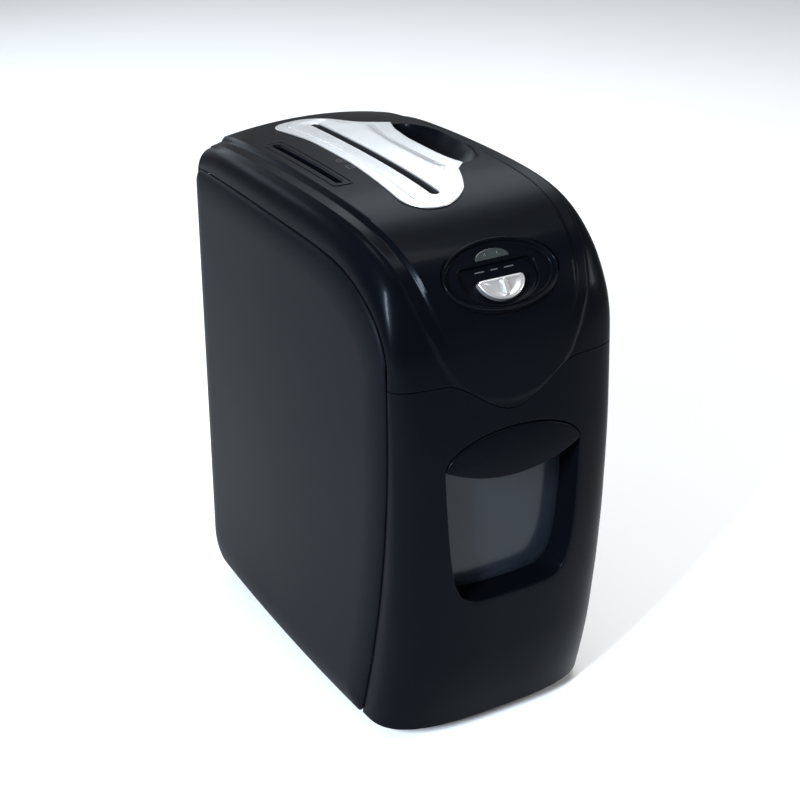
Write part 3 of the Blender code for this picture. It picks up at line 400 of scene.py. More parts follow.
slotLow, slotHigh = opening("paper_slot")
discLow, discHigh = opening("disc_slot")
slotX, slotY = ((slotLow + slotHigh) / 2)[:2]
discX, discY = ((discLow + discHigh) / 2)[:2]
slotLength = slotHigh[1] - slotLow[1] + 4  # the record's openings stop a little short of the slots' ends
discLength = discHigh[1] - discLow[1] + 6
slotRadius = 4.3
discRadius = 3.0

form = {
    "halfLength": cadHigh.y / mm,
    "seamHalf": 112.0, "waistTaper": 5.0, "panelBulge": cadHigh.x / mm - 112.0,
    "crown": 472.5, "apronSeam": 353.0, "apronDip": 31.0, "dipHalf": 66.0,
    "floorGap": 14.0, "gap": 0.4, "wall": 2.5, "ridgeHalf": 99.0,
    "backRound": 5.0, "backFoot": 25.0, "backDrop": 47.5,
    "stepLift": 3.4, "stepWidth": 4.5, "ledge": 13.0,
    "rimLift": 1.4, "rimWidth": (2.0, 6.5),
}
halfLength = form["halfLength"]
waistY = 0.086 * halfLength
sideFront = 32.5 - halfLength


def seamHalf(y):
    return form["seamHalf"] - form["waistTaper"] * ((y - waistY) / (halfLength - waistY)) ** 2


def apronSeam(x):
    share = np.clip(np.abs(x) / form["dipHalf"], 0, 1)
    return form["apronSeam"] - form["apronDip"] * (1 + np.cos(np.pi * share)) / 2


def heightTable(pairs, spread=11):
    # depths at some heights, as a smooth table for every millimetre of height
    heights, depths = np.array(pairs, float).T
    level = np.arange(heights[0], heights[-1] + 1)
    lines = np.column_stack([level, np.interp(level, heights, depths)])
    return eased(lines, len(level), spread)


# height, then how far the front lies behind its foremost place: at the side seams and on the centre line
edgeTable = heightTable((
    (0, 44), (20, 39), (77, 24), (136, 12), (191, 4), (252, -1), (299, -2), (326, -1.5), (353, -0.5),
    (374.5, 0), (389.5, 3.8), (406.5, 14.6), (420, 32), (430, 52), (436, 75)))
centreTable = heightTable((
    (0, 22), (14, 19), (45, 11), (80, 5), (148, 0.5), (200, 0), (283, 3.5), (322, 8), (353, 11.5),
    (380.5, 15), (406.5, 20.5), (432, 33.4), (448, 51), (460, 77)))


def frontAt(share, z):
    # y of the front where x is this share of the half width: in plan, a superellipse of power 3
    edge = sideFront + np.interp(z, *edgeTable.T)
    centre = -halfLength + np.interp(z, *centreTable.T)
    return edge - (edge - centre) * (1 - np.clip(np.abs(share), 0, 1) ** 3) ** (1 / 3)


def edgeHalf(z):
    return seamHalf(sideFront + np.interp(z, *edgeTable.T))


def frontY(x, z):
    return frontAt(x / edgeHalf(z), z)


# depth as a share of the half length, then the drop below the crown; the ridge also has its offset in width
sideGuide = (
    (0.974, 40), (0.81, 36.5), (0.49, 33.5), (0.19, 32.5), (-0.22, 32.5), (-0.42, 34.5), (-0.555, 41.5),
    (-0.665, 52.5), (-0.757, 66), (-0.813, 83), (-0.833, 98))
ridgeGuide = (
    (-5, 0.974, 22.5), (-1, 0.81, 12), (0, 0.49, 8), (0.5, 0.19, 5), (0, -0.22, 4), (-1.5, -0.42, 7),
    (-5.3, -0.584, 13.5), (-10.3, -0.716, 27), (-14, -0.813, 44), (-19, -0.884, 68), (-29, -0.929, 88))
centreGuide = (
    (0.974, 7), (0.81, 4), (0.49, 1.5), (0.19, 0), (-0.22, 0.5), (-0.432, 4.5), (-0.604, 12),
    (-0.736, 24.5), (-0.828, 40.5), (-0.899, 66), (-0.926, 92))
# the ridge line across the apron: half width, and way down from where the guides end
rimTail = ((70, 0), (68, 6), (64, 13), (58, 24), (50, 33), (40, 40), (28, 46.5), (15, 50), (0, 51.5))
rowCount = {"skirt": 14, "guides": 176, "apron": 40}
columnCount = {"crown": 34, "ledge": 20, "shoulder": 24}


def coverHalf():
    # one half of the cover, from the centre line to the side seam, in rows from the back to the apron's seam:
    # across, the crown falls with the square of x, and the shoulder is a quarter of an ellipse
    stations = len(sideGuide)
    count = rowCount["guides"]
    spread = 0.55 * count / stations
    top = form["crown"]
    side = eased([(s * halfLength, top - d) for s, d in sideGuide], count, spread)
    centre = eased([(s * halfLength, top - d) for s, d in centreGuide], count, spread)
    ridge = [(form["ridgeHalf"] + dx, s * halfLength, top - d) for dx, s, d in ridgeGuide]
    ridge = eased(ridge, count, spread)
    station = np.linspace(0, stations - 1, count)
    fade = 1 - smoothStep((station - 7.6) / 2.4)
    tangent = np.gradient(centre, axis=0)
    tangent /= np.linalg.norm(tangent, axis=1)[:, None]
    normal = np.column_stack([tangent[:, 1], -tangent[:, 0]])
    centre = centre - normal * (form["rimLift"] + form["stepLift"] * fade)[:, None]
    crease = ridge[:, 1:] + 0.3 * (centre - ridge[:, 1:])
    creaseX = ridge[:, 0] - form["ledge"]
    u = np.linspace(0, 1, columnCount["crown"], endpoint=False)
    crownX = creaseX[:, None] * u
    crownYz = centre[:, None] + (crease - centre)[:, None] * (u**2)[None, :, None]
    u = np.linspace(0, 1, columnCount["ledge"], endpoint=False)
    ledgeX = creaseX[:, None] + form["ledge"] * u
    ledgeYz = crease[:, None] + (ridge[:, 1:] - crease)[:, None] * u[None, :, None]
    turn = np.linspace(0, math.pi / 2, columnCount["shoulder"])
    edge = seamHalf(side[:, 0])
    shoulderX = ridge[:, :1] + (edge - ridge[:, 0])[:, None] * np.sin(turn)
    shoulderYz = ridge[:, None, 1:] + (side - ridge[:, 1:])[:, None] * (1 - np.cos(turn))[None, :, None]
    x = np.hstack([crownX, ledgeX, shoulderX])
    yz = np.concatenate([crownYz, ledgeYz, shoulderYz], axis=1)
    grid = np.dstack([x, yz[:, :, 0], yz[:, :, 1]])
    # towards the apron the front's own formula takes over
    share = smoothStep((station - 7.4) / 2.4)[:, None]
    grid[:, :, 1] = grid[:, :, 1] * (1 - share) + frontY(grid[:, :, 0], grid[:, :, 2]) * share
    down = np.linspace(0, 1, rowCount["apron"] + 1)[1:]
    last = grid[-1]
    x = last[:, 0] * (1 + (edgeHalf(form["apronSeam"]) / last[-1, 0] - 1) * down[:, None])
    z = last[:, 2] * (1 - down[:, None]) + (apronSeam(x) + form["gap"]) * down[:, None]
    apron = np.dstack([x, frontY(x, z), z])
    # how far round the form each point lies, for the rim and the crease to be drawn on
    along = np.concatenate([[0], np.cumsum(np.linalg.norm(np.diff(centre, axis=0), axis=1))])
    way = np.vstack([np.repeat(along[:, None], grid.shape[1], axis=1), along[-1] + last[:, 2] - z])
    rim = np.vstack([np.column_stack([ridge[:, 0], along]), np.array(rimTail[1:]) + (0, along[-1])])
    fade = np.concatenate([fade, np.zeros(rowCount["apron"])])
    return np.vstack([grid, apron]), way, rim, fade


def signedFrom(line, x, way):
    # distance of each point of the unrolled form from a line on it, positive towards the middle
    line = evenly(line, 150)
    start, step = line[:-1], np.diff(line, axis=0)
    points = np.stack([x, way], axis=-1)[:, :, None]
    share = np.clip(((points - start) * step).sum(-1) / (step**2).sum(-1), 0, 1)
    distance = np.linalg.norm(points - start - step * share[..., None], axis=-1).min(axis=-1)
    inside = x < np.interp(way, line[:, 1], line[:, 0], right=0)
    return np.where(inside, distance, -distance)


def normalsOf(grid):
    normal = np.cross(np.gradient(grid, axis=1), np.gradient(grid, axis=0))
    normal /= np.maximum(np.linalg.norm(normal, axis=2), 1e-9)[:, :, None]
    return normal * np.sign((normal * (grid - (0, 0, 250))).sum())


# the silver plate's edge, from the middle of the slot: each run's points, step and corner radius
plateRuns = (
    (((62, 76), (54, 54), (49, 20), (49, -20), (51, -45), (56, -62)), 1.5, 8),
    (((56, -62), (45, -73)), 1.5, 3),
    (((45, -73), (38, -90), (27, -112), (11, -127), (-6, -134), (-24, -131), (-36, -115), (-33, -75),
      (-29, -20), (-29, 60), (-38, 118), (-31, 129), (-5, 132), (17, 122), (25, 109), (36, 92), (62, 76)),
     1.5, 9),
)


def coverGrid():
    half, way, rim, fade = coverHalf()
    x = half[:, :, 0]
    rimDistance = signedFrom(rim, x, way)
    crease = np.column_stack([np.maximum(rim[:, 0] - form["ledge"], 0), rim[:, 1]])
    creaseDistance = signedFrom(crease, x, way)
    share = np.clip((way - way[0, 0]) / way.max(), 0, 1) ** 3
    width = form["rimWidth"][0] + (form["rimWidth"][1] - form["rimWidth"][0]) * share
    lift = form["rimLift"] * smoothStep(rimDistance / width + 0.5)
    lift = lift + form["stepLift"] * fade[:, None] * smoothStep(creaseDistance / form["stepWidth"] + 0.5)
    grid = np.hstack([half[:, :0:-1] * (-1, 1, 1), half])
    lift = np.hstack([lift[:, :0:-1], lift])
    grid = grid + normalsOf(grid) * lift[:, :, None]
    # the back: a small round, then straight down to the rear panel
    first = grid[0]
    turn = np.linspace(0, math.pi / 2, 7)[1:]
    radius = form["backRound"]
    bend = [first + (0, radius * math.sin(a), -radius * (1 - math.cos(a))) for a in turn]
    foot = bend[-1].copy()
    foot[:, 2] = form["crown"] - form["backDrop"]
    straight = [bend[-1] + (foot - bend[-1]) * t for t in np.linspace(0, 1, rowCount["skirt"] - 6)[1:]]
    grid = np.concatenate([np.array(bend + straight)[::-1], grid])
    grid[:, :, 1] = np.minimum(grid[:, :, 1], halfLength)
    return grid


coverPoints = coverGrid()
print("cover surface worked out:", coverPoints.shape)


def crownTable():
    # height of the crown on an even grid of x and y
    rows = coverPoints[rowCount["skirt"] - 1:rowCount["skirt"] - 1 + rowCount["guides"]]
    xs = np.arange(-88, 89, 1.0)
    ys = np.arange(-130, 186, 1.0)
    level = np.array([np.interp(xs, row[:, 0], row[:, 2]) for row in rows])
    depth = np.array([np.interp(xs, row[:, 0], row[:, 1]) for row in rows])
    table = np.array([np.interp(ys, depth[::-1, k], level[::-1, k]) for k in range(len(xs))])
    return xs, ys, table


crownX, crownY, crownZ = crownTable()


def crownAt(x, y):
    i = np.clip((x - crownX[0]), 0, len(crownX) - 1.001)
    j = np.clip((y - crownY[0]), 0, len(crownY) - 1.001)
    a, b = i.astype(int), j.astype(int)
    u, v = i - a, j - b
    low = crownZ[a, b] * (1 - v) + crownZ[a, b + 1] * v
    high = crownZ[a + 1, b] * (1 - v) + crownZ[a + 1, b + 1] * v
    return low * (1 - u) + high * u


control = {
    "centre": (0, -0.825 * halfLength, form["crown"] - 41), "tilt": 45, "radii": (55.0, 32.0),
    "sink": 5.0, "wellSink": 3.6,
}
controlMatrix = Matrix.Translation(control["centre"])
controlMatrix = controlMatrix @ Matrix.Rotation(math.radians(control["tilt"]), 4, "X")


scoop = {"depth": 19.0, "lip": 4.0, "middle": (slotX + 63, slotY + 12), "under": 2.5}


def scoopLoop():
    # the plate's swept edge on one side and a round edge on the other, and how much of each point is round
    swept = np.array(((62, 74), (55, 54), (50, 20), (50, -20), (52, -45), (57, -60)), float)
    swept = smoothRun(swept - (scoop["under"], 0), 1.5, 8)
    rounded = ((57, -60), (70, -59), (80, -49), (87, -32), (90, -5), (89, 30), (83, 56), (74, 71), (62, 74))
    rounded = smoothRun(rounded, 1.5, 9)
    loop = np.vstack([swept[:-1], rounded[:-1]]) + (slotX, slotY)
    turn = np.linspace(0, math.pi, len(rounded))[:-1]
    return loop, np.concatenate([np.zeros(len(swept) - 1), np.sin(turn) ** 0.5])


def stadium(x, y, width, length):
    low, high = (x - width / 2, y - length / 2), (x + width / 2, y + length / 2)
    return roundedBox(low, high, width / 2 - 0.05, 14)


def coverShell():
    cover = turnedOut(meshOf("coverShell", coverPoints), (0, 0, 200))
    walled(cover, form["wall"], 0.5)
    cut(cover, prism("slotCut", stadium(slotX, slotY, 9.4, slotLength + 3), 400, 520))
    cut(cover, prism("discCut", stadium(discX, discY, 9.0, discLength + 2), 440, 520))
    loop, share = scoopLoop()
    outer = inward(loop, -scoop["lip"] * share)
    cut(cover, prism("scoopCut", outer, 400, 520))
    cut(cover, prism("controlCut", ellipse(np.array(control["radii"]) + 0.3), -25, 25, controlMatrix))
    placed(shaded(cover), "housing", "housing", "top_cover")
    print("cover:", len(cover.data.polygons), "faces")


coverShell()


def thumbScoop():
    # a bowl: an upright wall under the plate's swept edge, and a rounded lip up to the crown elsewhere
    loop, share = scoopLoop()
    middle = np.array(scoop["middle"])
    rings = []
    for turn in np.linspace(0, math.pi / 2, 9):
        ring = inward(loop, scoop["lip"] * share * (math.sin(turn) - 1))
        drop = scoop["lip"] * share * (1 - math.cos(turn)) * 0.5
        rings.append(np.column_stack([ring, crownAt(ring[:, 0], ring[:, 1]) - drop]))
    lip = rings[-1][:, 2] - crownAt(loop[:, 0], loop[:, 1])
    for inner in np.linspace(1, 0, 30)[1:-1]:
        ring = middle + (loop - middle) * inner
        steep = 1 - np.clip(inner, 0, 1) ** 7
        gentle = 1 - np.clip(inner, 0, 1) ** 2.2
        bowl = scoop["depth"] * (steep * (1 - share) + gentle * share)
        rings.append(np.column_stack([ring, crownAt(ring[:, 0], ring[:, 1]) + lip * inner**2 - bowl]))
    bowl = meshOf("thumbScoop", np.array(rings), wrap=True, poles=(-1,))
    turnedOut(bowl, (middle[0], middle[1], 300))
    placed(shaded(walled(bowl, 2.0), 50), "housing", "housing", "finger_scoop")


thumbScoop()


def sidePanel(name, sign, node):
    # rings of the side's outline drawn in towards its middle: a round roll, then a nearly flat pillow
    look = {"roll": 0.13, "rings": 30, "flat": 26}
    low = form["floorGap"]
    seam = eased([(s * halfLength, form["crown"] - d - form["gap"]) for s, d in sideGuide], 160, 9)
    seam = np.vstack([[(halfLength, form["crown"] - 47)], seam])
    heights = np.linspace(form["crown"] - 102, low + 3, 120)
    front = np.column_stack([sideFront + np.interp(heights, *edgeTable.T) + form["gap"], heights])
    radius = form["backFoot"]
    foot = [(front[-1, 0] + 3.5, low), (-40, low), (40, low), (halfLength - radius, low)]
    corner = arc((halfLength - radius, low + radius), (radius, radius), -90, 0, 20)
    outline = np.vstack([seam, front, evenly(foot, 90), corner[1:], [(halfLength, form["crown"] - 48)]])
    outline = evenly(outline, 460)[:-1]
    middle = np.array([waistY, (low + form["crown"] - 32) / 2])
    turn = np.linspace(0, math.pi / 2, look["rings"])
    inner = np.linspace(1 - look["roll"], 0.02, look["flat"])[1:]
    shares = np.concatenate([1 - look["roll"] * (1 - np.cos(turn)), inner])
    rise = np.concatenate([np.sin(turn), np.ones(len(inner))])
    ring = middle + (outline - middle) * shares[:, None, None]
    x = seamHalf(ring[:, :, 0]) + form["panelBulge"] * rise[:, None]
    grid = np.dstack([sign * x, ring[:, :, 0], ring[:, :, 1]])
    panel = turnedOut(meshOf(name, grid, wrap=True, poles=(-1,)), (0, 0, 230))
    placed(shaded(walled(panel, form["wall"], 0.5)), "housing", "panel", node)


sidePanel("sidePanelLeft", -1, "side_panel_left")
sidePanel("sidePanelRight", 1, "side_panel_right")
print("side panels made")

# bin front, its hood and window

recess = {"half": 66.0, "tip": 278.0, "rise": 28.0, "sag": 16.0, "lip": 1.4, "depth": 26.0,
          "middle": (0.0, 225.0), "draft": 1.5}


def recessOutline():
    top = arc((0, recess["tip"]), (recess["half"], recess["rise"]), 0, 180, 90)
    left = ((-66, 278), (-65, 250), (-63, 215), (-60.5, 190), (-57.5, 172), (-51, 156), (-40, 149.5),
            (-20, 148), (0, 148))
    left = smoothRun(left, 1.6, 6)
    right = left[::-1] * (-1, 1)
    return np.vstack([top[:-1], left[:-1], right[:-1]])


def binFront():
    # rings from the recess's rim out to the front's edges, along straight rays of the unrolled front
    hole = recessOutline()
    lip = recess["lip"]
    start = inward(hole, -lip)
    middle = np.array(recess["middle"])
    half = form["seamHalf"]
    roll = 2 / math.pi * np.arcsin(np.clip(start[:, 0] / edgeHalf(start[:, 1]), -1, 1))
    inner = np.column_stack([roll * half, start[:, 1]])
    low, high = form["floorGap"], form["apronSeam"]
    corners = np.array([(half, low), (half, high), (-half, high), (-half, low)])
    angle = np.unwrap(np.arctan2(*(inner - middle).T[::-1]))
    for corner in corners:  # the ray nearest a corner is turned to meet it
        gap = (np.arctan2(*(corner - middle)[::-1]) - angle + math.pi) % (2 * math.pi) - math.pi
        nearest = np.argmin(np.abs(gap))
        angle[nearest] += gap[nearest]
    ray = np.column_stack([np.cos(angle), np.sin(angle)])
    near, far = np.zeros(len(ray)), np.full(len(ray), 400.0)
    for _ in range(40):  # the rays' ends, by halving the reach that is still open
        between = (near + far) / 2
        point = middle + ray * between[:, None]
        x = edgeHalf(point[:, 1]) * np.sin(np.clip(point[:, 0] / half, -1, 1) * math.pi / 2)
        top = apronSeam(x) - form["gap"]
        fits = (np.abs(point[:, 0]) <= half) & (point[:, 1] >= low) & (point[:, 1] <= top)
        near, far = np.where(fits, between, near), np.where(fits, far, between)
    outer = middle + ray * near[:, None]
    t = np.linspace(0, 1, 46)
    t = 0.35 * t + 0.65 * (1 - (1 - t) ** 2.2)
    flat = inner + (outer - inner) * t[::-1, None, None]
    share = np.sin(np.clip(flat[:, :, 0] / half, -1, 1) * math.pi / 2)
    sheet = np.dstack([share * edgeHalf(flat[:, :, 1]), frontAt(share, flat[:, :, 1]), flat[:, :, 1]])
    walls = []
    for a in np.linspace(0, math.pi / 2, 6)[1:]:
        walls.append((lip * (1 - math.sin(a)), lip * (1 - math.cos(a))))
    walls += [(-recess["draft"] * t, lip + (recess["depth"] - lip) * t) for t in np.linspace(0, 1, 9)[1:]]
    walls += [(-recess["draft"] - 2.5, recess["depth"])]
    rings = []
    for away, depth in walls:
        loop = inward(hole, -away)
        rings.append(np.column_stack([loop[:, 0], frontY(loop[:, 0], loop[:, 1]) + depth, loop[:, 1]]))
    grid = np.concatenate([sheet, np.array(rings)])
    front = turnedOut(meshOf("binFront", grid, wrap=True), (0, 0, 200))
    placed(shaded(walled(front, 2.4, 0.5)), "bin", "housing", "bin_front")


binFront()


def frontLoft(name, loop, profile, middle, body, slot, *nodes):
    # rings of a loop drawn in towards its middle, each at its own depth behind the front's face
    rings = []
    for share, inset, depth in profile:
        ring = inward(loop, inset)
        ring = middle + (ring - middle) * share
        rings.append(np.column_stack([ring[:, 0], frontY(ring[:, 0], ring[:, 1]) + depth, ring[:, 1]]))
    obj = turnedOut(meshOf(name, np.array(rings), wrap=True, poles=(0, -1)))
    return placed(shaded(obj), body, slot, *nodes)


def pullVisor():
    # a lens-shaped hood that stands a little proud, its edges rolled
    top = arc((0, recess["tip"]), (recess["half"], recess["rise"]), 0, 180, 120)
    across = np.linspace(-1, 1, 90)[1:-1]
    sag = np.column_stack([recess["half"] * across, recess["tip"] - recess["sag"] * (1 - across**2)])
    loop = inward(np.vstack([top, sag]), 0.5)
    middle = np.array((0, recess["tip"] + 5))
    look = {"edge": 1.4, "proud": -0.9, "dome": 1.2, "back": 4.2}
    turns = np.linspace(math.pi / 2, 0, 6)
    edge, proud = look["edge"], look["proud"]
    roll = [(1, edge * (1 - math.sin(a)), proud + edge * (1 - math.cos(a))) for a in turns]
    back = [(share, 0.3, look["back"]) for share in (0.2, 0.5, 0.8, 0.99)]
    face = [(share, edge, proud - look["dome"] * (1 - share**2)) for share in np.linspace(0.97, 0.03, 24)]
    frontLoft("pullVisor", loop, back + roll + face, middle, "bin", "housing", "pull_visor")


def windowPane():
    # a sheet at the bottom of the recess, its edges slightly eased
    loop = inward(recessOutline(), 1.9)
    front = [(share, 0, 24.4) for share in np.linspace(0.05, 0.97, 16)]
    back = [(1, 0, 24.8), (1, 0, 25.8), (0.97, 0, 26), (0.4, 0, 26)]
    frontLoft("windowPane", loop, front + back, np.array(recess["middle"]), "bin", "smoked", "window_pane")


pullVisor()
windowPane()
print("bin front made")

# trims on the crown

def collar(name, outer, axis, radius, profile, slot, *nodes):
    # a plate round a slot, laid on the crown: each outline point is led to the nearest one of the slot's edge
    (x0, y0), (x1, y1) = axis
    spine = np.column_stack([np.full(len(outer), x0), np.clip(outer[:, 1], y0, y1)])
    away = outer - spine
    edge = spine + away / np.linalg.norm(away, axis=1)[:, None] * radius
    rings = []
    for share, inset, height in profile:
        ring = inward(outer, inset) * (1 - share) + edge * share
        rings.append(np.column_stack([ring, crownAt(ring[:, 0], ring[:, 1]) + height]))
    obj = turnedOut(meshOf(name, np.array(rings), wrap=True))
    return placed(shaded(obj, 40), "housing", slot, *nodes)


def rolled(radius, height):
    # an outer edge that rounds over to the top: (share, inset, height) for each ring
    turns = np.linspace(0, math.pi / 2, 5)
    return [(0, radius * (1 - math.cos(a)), height - radius * (1 - math.sin(a))) for a in turns]


def throatPlate():
    # a satin plate: a rolled edge, a line pressed in round it, and a face that dips and turns into the slot
    outer = closedRun(plateRuns)[::-1] + (slotX, slotY)
    reach = slotLength / 2 - 3
    axis = (slotX, slotY - reach), (slotX, slotY + reach)
    profile = [(0, 0.6, -0.4)] + rolled(0.8, 1.5)
    profile += [(share, 0.8 * (1 - share), 1.5) for share in (0.05, 0.15, 0.28)]
    groove = ((0.33, 1.5), (0.345, 0.9), (0.365, 0.9), (0.38, 1.45))
    dish = ((0.5, 1.4), (0.6, 1.3), (0.7, 1.2), (0.8, 1.0), (0.88, 0.9))
    profile += [(share, 0, height) for share, height in groove + dish]
    turns = np.linspace(0, math.pi / 2, 6)
    profile += [(0.93 + 0.07 * math.sin(a), 0, 0.2 + 0.7 * math.cos(a)) for a in turns]
    profile += [(1, 0, -0.6), (0.98, 0, -0.6)]
    collar("throatPlate", outer, axis, slotRadius, profile, "silver", "throat_plate")


def discBezel():
    # a low border round a sunken face, and the upright walls of the disc slot
    half = np.array((10, discLength / 2 + 7.5))
    outer = roundedBox((discX, discY) - half, (discX, discY) + half, 3.5, 12)
    outer = evenly(np.vstack([outer, outer[:1]]), 240)[:-1]
    reach = discLength / 2 - 3
    axis = (discX, discY - reach), (discX, discY + reach)
    profile = [(0, 0.3, -0.4)] + rolled(0.5, 0.6)
    border = ((0.1, 0.6), (0.2, 0.55), (0.28, 0.1))
    face = ((0.34, -0.2), (0.6, -0.35), (0.8, -0.4), (0.93, -0.5), (0.98, -0.9))
    wall = ((1, -1.6), (1, -9))
    profile += [(share, 0, height) for share, height in border + face + wall]
    collar("discBezel", outer, axis, discRadius, profile, "housing", "disc_bezel")


def slotLiner():
    # the moulded throat under the paper slot: a thin upright wall round it, open at the bottom
    look = {"wall": 0.8, "top": -0.7, "low": -15.0}
    length = slotLength + 2 * (slotRadius - 3)
    outer = stadium(slotX, slotY, 2 * (slotRadius + look["wall"]), length + 2 * look["wall"])
    outer = evenly(outer, 200)[:-1]
    corners = ((0, look["top"]), (1, look["top"]), (1, look["low"]), (0, look["low"]), (0, look["top"]))
    profile = [(share, 0, height) for share, height in corners]
    reach = length / 2 - slotRadius
    axis = (slotX, slotY - reach), (slotX, slotY + reach)
    collar("slotLiner", outer, axis, slotRadius, profile, "inner")


throatPlate()
discBezel()
slotLiner()
print("trims on the crown made")

# control panel on the slope


def plateLoft(name, loop, profile, body, slot, *nodes, middle=(0, 0), matrix=controlMatrix, angle=35):
    # rings of a loop, each inset and drawn to its middle by a share, at its own height above the panel
    rings = []
    middle = np.array(middle)
    for share, inset, height in profile:
        ring = inward(loop, inset)
        ring = middle + (ring - middle) * share
        rings.append(np.column_stack([ring, np.full(len(ring), height)]))
    grid = moved(np.array(rings), matrix)
    obj = turnedOut(meshOf(name, grid, wrap=True, poles=(0, -1)))
    return placed(shaded(obj, angle), body, slot, *nodes)


def halfMoon(width, height, top, corner=3.0):
    # flat side up, anticlockwise
    lower = arc((0, top), (width / 2, height), 186, 354, 80)
    loop = np.vstack([lower, [(width / 2 - corner / 2, top), (-width / 2 + corner / 2, top)], lower[:1]])
    return evenly(smoothRun(loop, 0.5, corner), 220)[:-1]


def controlDish():
    # a groove all round, a rounded rim, a flat face, and the D-shaped well for the knob with its own lip
    outer = ellipse(control["radii"], 240)
    level = -control["sink"]
    radius = 1.4  # of the well's lip
    straight = [(36, 8), (33, 11), (-33, 11), (-36, 8), (-36, -1.5)]
    well = smoothRun(np.vstack([arc((0, -1.5), (36, 23.8), 180, 360, 80), straight]), 0.8, 3.0)
    # the well's edge is looked up by angle, so that it has a point for each one of the oval
    centre = np.array((0, -4.0))
    around = 2 * math.pi
    spin = np.arctan2(*(outer - centre).T[::-1])
    wellSpin = np.unwrap(np.arctan2(*(well - centre).T[::-1])) % around
    wellReach = np.linalg.norm(well - centre, axis=1)
    order = np.argsort(wellSpin)
    reach = np.interp(spin % around, wellSpin[order], wellReach[order], period=around)
    inner = centre + np.column_stack([np.cos(spin), np.sin(spin)]) * reach[:, None]
    rings = []

    def ring(loop, height):
        rings.append(np.column_stack([loop, np.full(len(loop), height)]))

    ring(outer, -9.0)
    ring(outer, -2.4)
    ring(inward(outer, 0.7), -2.2)
    for turn in np.linspace(0, math.pi / 2, 6):
        ring(inward(outer, 0.9 + 1.3 * (1 - math.cos(turn))), -2.0 + 1.9 * math.sin(turn))
    for turn in np.linspace(0, 1, 8)[1:]:
        ring(inward(outer, 2.2 + 3.0 * turn), -0.1 - (control["sink"] - 0.1) * smoothStep(turn))
    face = inward(outer, 5.2)
    lip = inward(inner, -radius)
    for share in (0.25, 0.5, 0.75, 1):
        ring(face + (lip - face) * share, level + 0.5 * share)
    for turn in np.linspace(0, math.pi / 2, 6)[1:]:
        ring(inward(inner, -radius * (1 - math.sin(turn))), level + 0.5 - radius * (1 - math.cos(turn)))
    ring(inward(inner, 0.2), level - control["wellSink"])
    for share in (0.97, 0.7, 0.4, 0.1):
        ring(centre + (inner - centre) * share, level - control["wellSink"] - 0.3)
    grid = moved(np.array(rings), controlMatrix)
    dish = turnedOut(meshOf("controlDish", grid, wrap=True, poles=(0, -1)))
    placed(shaded(dish, 50), "housing", "housing", "control_bezel")


def modeKnob():
    # a half moon with a rolled edge and a hollowed face, and a slightly leaning ridge to push on
    look = {"width": 44.6, "height": 19.8, "top": -2.2, "edge": 1.6, "hollow": 1.1}
    ridgeLook = {"lean": 0.1, "edge": 1.2, "height": 2.6}
    face = -control["sink"]
    turns = np.linspace(0, math.pi / 2, 6)
    loop = halfMoon(look["width"], look["height"], look["top"])
    edge, shoulder = look["edge"], face + 0.2
    profile = [(0.5, 0, face - 3.4), (1, 0, face - 3.4), (1, 0, shoulder)]
    profile += [(1, edge * (1 - math.cos(a)), shoulder + edge * math.sin(a)) for a in turns[1:]]
    for share in np.linspace(0.97, 0.04, 22):
        profile.append((share, edge, shoulder + edge - look["hollow"] * smoothStep((0.93 - share) / 0.4)))
    plateLoft("modeKnob", loop, profile, "knob", "silver", "mode_knob", middle=(0, -10.5), angle=50)
    ridge = roundedBox((-2.6, -18.5), (2.6, -4.2), 2.2, 10) + (0.8, 0)
    ridge[:, 0] += ridgeLook["lean"] * (ridge[:, 1] + 12)
    edge, shoulder = ridgeLook["edge"], face + ridgeLook["height"]
    rise = [(0.5, 0, face), (1, 0, face)]
    rise += [(1, edge * (1 - math.cos(a)), shoulder + edge * math.sin(a)) for a in turns]
    rise += [(0.5, edge, shoulder + edge + 0.05)]
    plateLoft("knobRidge", ridge, rise, "knob", "silver", middle=(0.8, -12), angle=50)


def lampWindow():
    # a half-round lens with an eased edge, and the two lamps' domes on it
    face = -control["sink"]
    loop = np.vstack([arc((0, 15.2), (16, 8.2), 0, 180, 60), [(-16, 14.6), (16, 14.6)]])
    loop = evenly(smoothRun(np.vstack([loop, loop[:1]]), 0.5, 1.2), 160)[:-1]
    rise = [(0.5, 0, face - 1), (1, 0, face - 1), (1, 0, face + 0.3)]
    turns = np.linspace(0, math.pi / 2, 4)[1:]
    rise += [(1, 0.7 * (1 - math.cos(a)), face + 0.3 + 0.7 * math.sin(a)) for a in turns]
    rise += [(share, 0.7, face + 1.0) for share in (0.9, 0.6, 0.3)]
    plateLoft("indicatorLens", loop, rise, "housing", "lamp", "indicator_lens", middle=(0, 18))
    for name, x, node in (("lampReady", -6, "lamp_ready"), ("lampOverheat", 6, "lamp_overheat")):
        bead = ellipse((1.6, 1.6), 32) + (x, 18.3)
        dome = [(math.cos(a), 0, face + 1.0 + 0.9 * math.sin(a)) for a in np.linspace(0, 1.4, 7)]
        dome = [(0.3, 0, face + 0.9)] + dome
        plateLoft(name, bead, dome, "housing", "lamp", node, middle=(x, 18.3))


def ringMark(loop, width):
    # a thin printed outline: a raised strip along a closed loop, laid on the crown
    rings = []
    for inset, height in ((0, 0), (0, 0.12), (width, 0.12), (width, 0)):
        ring = inward(loop, inset)
        rings.append(np.column_stack([ring, crownAt(ring[:, 0], ring[:, 1]) + height]))
    return np.array(rings + rings[:1])


def printed(obj):
    obj.data.materials[0] = greyPrint
    return obj


